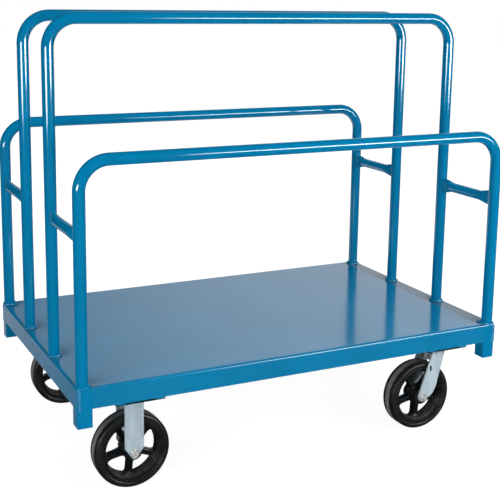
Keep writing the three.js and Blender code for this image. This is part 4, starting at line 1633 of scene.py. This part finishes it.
# %% [markdown]
# ## Bolts and nuts
# Plate bolts, axle bolts and axle nuts are plated hex fasteners. Each kind is modelled once, with the curved chamfer
# that turning leaves on a hexagon and with threads, and a tree sets it on points that say which way it looks.

# %% Build the fastener tree
HEX_TURNS = [2 * math.pi * i / 72 for i in range(72)]
CHAMFER_SLOPE = math.tan(math.radians(30))
WASHER = 1.6 * MM  # thickness of the flange under a head or nut


def build_fastener_tree():
    tree, given, end = new_tree("set_fasteners", Fastener="Object", Finish="Material")
    source = add_node(tree, "GeometryNodeObjectInfo", {"Object": given["Fastener"], "As Instance": True})
    named = add_node(tree, "GeometryNodeInputNamedAttribute", {"Name": "aim"}, data_type="FLOAT_VECTOR")
    turn = add_node(tree, "FunctionNodeAlignRotationToVector", {"Vector": named.outputs["Attribute"]}, axis="Z")
    copies = add_node(tree, "GeometryNodeInstanceOnPoints", {
        "Points": given["Geometry"], "Instance": source.outputs["Geometry"], "Rotation": turn.outputs[0],
    }).outputs[0]
    end_tree(tree, copies, given["Finish"], end)
    return tree


fastener_tree = build_fastener_tree()


def hex_ring(flats, z, rounded=None, chamfer=0):
    """A ring round a hexagon, or a round one inside it. A chamfer lowers the corners by their reach."""
    ring = []
    for turn in HEX_TURNS:
        from_flat = (turn + math.pi / 6) % (math.pi / 3) - math.pi / 6
        reach = flats / 2 / math.cos(from_flat)
        radius = reach if rounded is None else rounded
        drop = chamfer * max(0, reach - flats / 2 * 0.97) * CHAMFER_SLOPE * 1.6
        ring.append((radius * math.cos(turn), radius * math.sin(turn), z + drop))
    return ring


def thread_rings(radius, start, end, pitch):
    """Rings that rise and fall along a threaded shank."""
    count = int((end - start) / pitch)
    rings = []
    for i in range(count):
        rings.append(hex_ring(1, start + (i + 0.25) * pitch, radius))
        rings.append(hex_ring(1, start + (i + 0.75) * pitch, radius - pitch * 0.45))
    return rings


def washer_rings(flats, flange, side):
    """The round flange under a head or a nut, on one side of its seat."""
    rim = flange - 0.4 * MM
    return [hex_ring(flats, side * WASHER), hex_ring(flats, side * WASHER, rim),
            hex_ring(flats, side * (WASHER - 0.4 * MM), flange), hex_ring(flats, 0, flange)]


def hex_bolt(name, flats, head, flange, shank, length, threaded, pitch):
    """A bolt with its seat at the origin, its flanged head below it and its shank above."""
    face = flats / 2 * 0.95
    rings = [hex_ring(flats, -head, 0.0), hex_ring(flats, -head, face), hex_ring(flats, -head + 0.2 * MM, None, 1)]
    rings += washer_rings(flats, flange, -1)
    rings += [hex_ring(flats, 0, shank), hex_ring(flats, length - threaded, shank)]
    rings += thread_rings(shank, length - threaded, length - pitch, pitch)
    rings += [hex_ring(flats, length - pitch * 0.6, shank * 0.94), hex_ring(flats, length, shank * 0.8),
              hex_ring(flats, length, 0.0)]
    bolt = skin(name, rings)
    clean(bolt)
    return bolt


def hex_nut(name, flats, height, flange, bore):
    """A flanged nut with its seat at the origin."""
    face = flats / 2 * 0.95
    rings = [hex_ring(flats, 0, bore)] + washer_rings(flats, flange, 1)[::-1]
    rings += [hex_ring(flats, height - 0.2 * MM, None, -1), hex_ring(flats, height, face),
              hex_ring(flats, height, bore)]
    nut = skin(name, rings, wrap=True)
    clean(nut)
    return nut


def set_fasteners(name, fastener, spots, aims, body, nodes):
    """Sets copies of a fastener at these spots and makes one piece of them."""
    piece = add_mesh(name, spots, [])
    aim = piece.data.attributes.new("aim", "FLOAT_VECTOR", "POINT")
    aim.data.foreach_set("vector", [part for vector in aims for part in vector])
    run_tree(piece, fastener_tree, Fastener=fastener, Finish=bolt_zinc)
    settle(piece, body, bolt_zinc, nodes, crisp=28)


print("fastener tree with", len(fastener_tree.nodes), "nodes")

# %% Set the bolts and nuts
PLATE_BOLT_FLATS = 14.3 * MM
PLATE_BOLT_HEAD = 6.4 * MM
PLATE_BOLT_FLANGE = 8.4 * MM
AXLE_FLATS = 19 * MM
AXLE_HEAD = 8 * MM
AXLE_FLANGE = 12.5 * MM
AXLE_PROUD = 4 * MM
SEAT_GAP = 0.3 * MM
axle_seat = FORK_FACE + SEAT_GAP

bolt_nodes = [f"plate_bolt_{caster}_{corner}" for caster in CORNERS for corner in CORNERS]
bolt_low, bolt_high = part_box(bolt_nodes[0])
bolt_length = bolt_high.z - bolt_low.z - PLATE_BOLT_HEAD
plate_bolt = hex_bolt("plate_bolt", PLATE_BOLT_FLATS, PLATE_BOLT_HEAD, PLATE_BOLT_FLANGE, BOLT_RADIUS, bolt_length,
                      12 * MM, 1.5 * MM)
seats = [Vector((spot.x, spot.y, bolt_low.z + PLATE_BOLT_HEAD)) for caster in CORNERS for spot in bolt_places(caster)]
set_fasteners("plate_bolts", plate_bolt, seats, [Z_AXIS] * len(seats), "deck", bolt_nodes)

axle_length = 2 * axle_seat + AXLE_HEAD + AXLE_PROUD
axle_bolt = hex_bolt("axle_bolt", AXLE_FLATS, AXLE_HEAD, AXLE_FLANGE, AXLE_RADIUS, axle_length, 20 * MM, 1.75 * MM)
axle_nut = hex_nut("axle_nut", AXLE_FLATS, AXLE_HEAD, AXLE_FLANGE, AXLE_RADIUS + AXLE_CLEARANCE)


def make_axles(name, places, outward, body):
    """Axle bolts and nuts for the wheels of one body. The head looks outward or inward."""
    heads, nuts, aims = [], [], []
    for place in places:
        centre = wheel_middle(place)
        side = outward * math.copysign(1, centre.y)
        heads.append(centre + Vector((0, side * axle_seat, 0)))
        nuts.append(centre - Vector((0, side * axle_seat, 0)))
        aims.append((0, -side, 0))
    set_fasteners(f"axle_bolts_{name}", axle_bolt, heads, aims, body, [f"axle_bolt_{place}" for place in places])
    set_fasteners(f"axle_nuts_{name}", axle_nut, nuts, aims, body, [f"axle_nut_{place}" for place in places])


make_axles("rigid", ["left_front", "left_rear"], 1, "deck")
make_axles("swivel_front", ["right_front"], -1, "swivel_front")
make_axles("swivel_rear", ["right_rear"], -1, "swivel_rear")
for source in (plate_bolt, axle_bolt, axle_nut):
    bpy.data.objects.remove(source)

# %% [markdown]
# ## Size of the frame
# The frame's box is printed.

# %% Print the frame's box
print("cad box", cad_box)
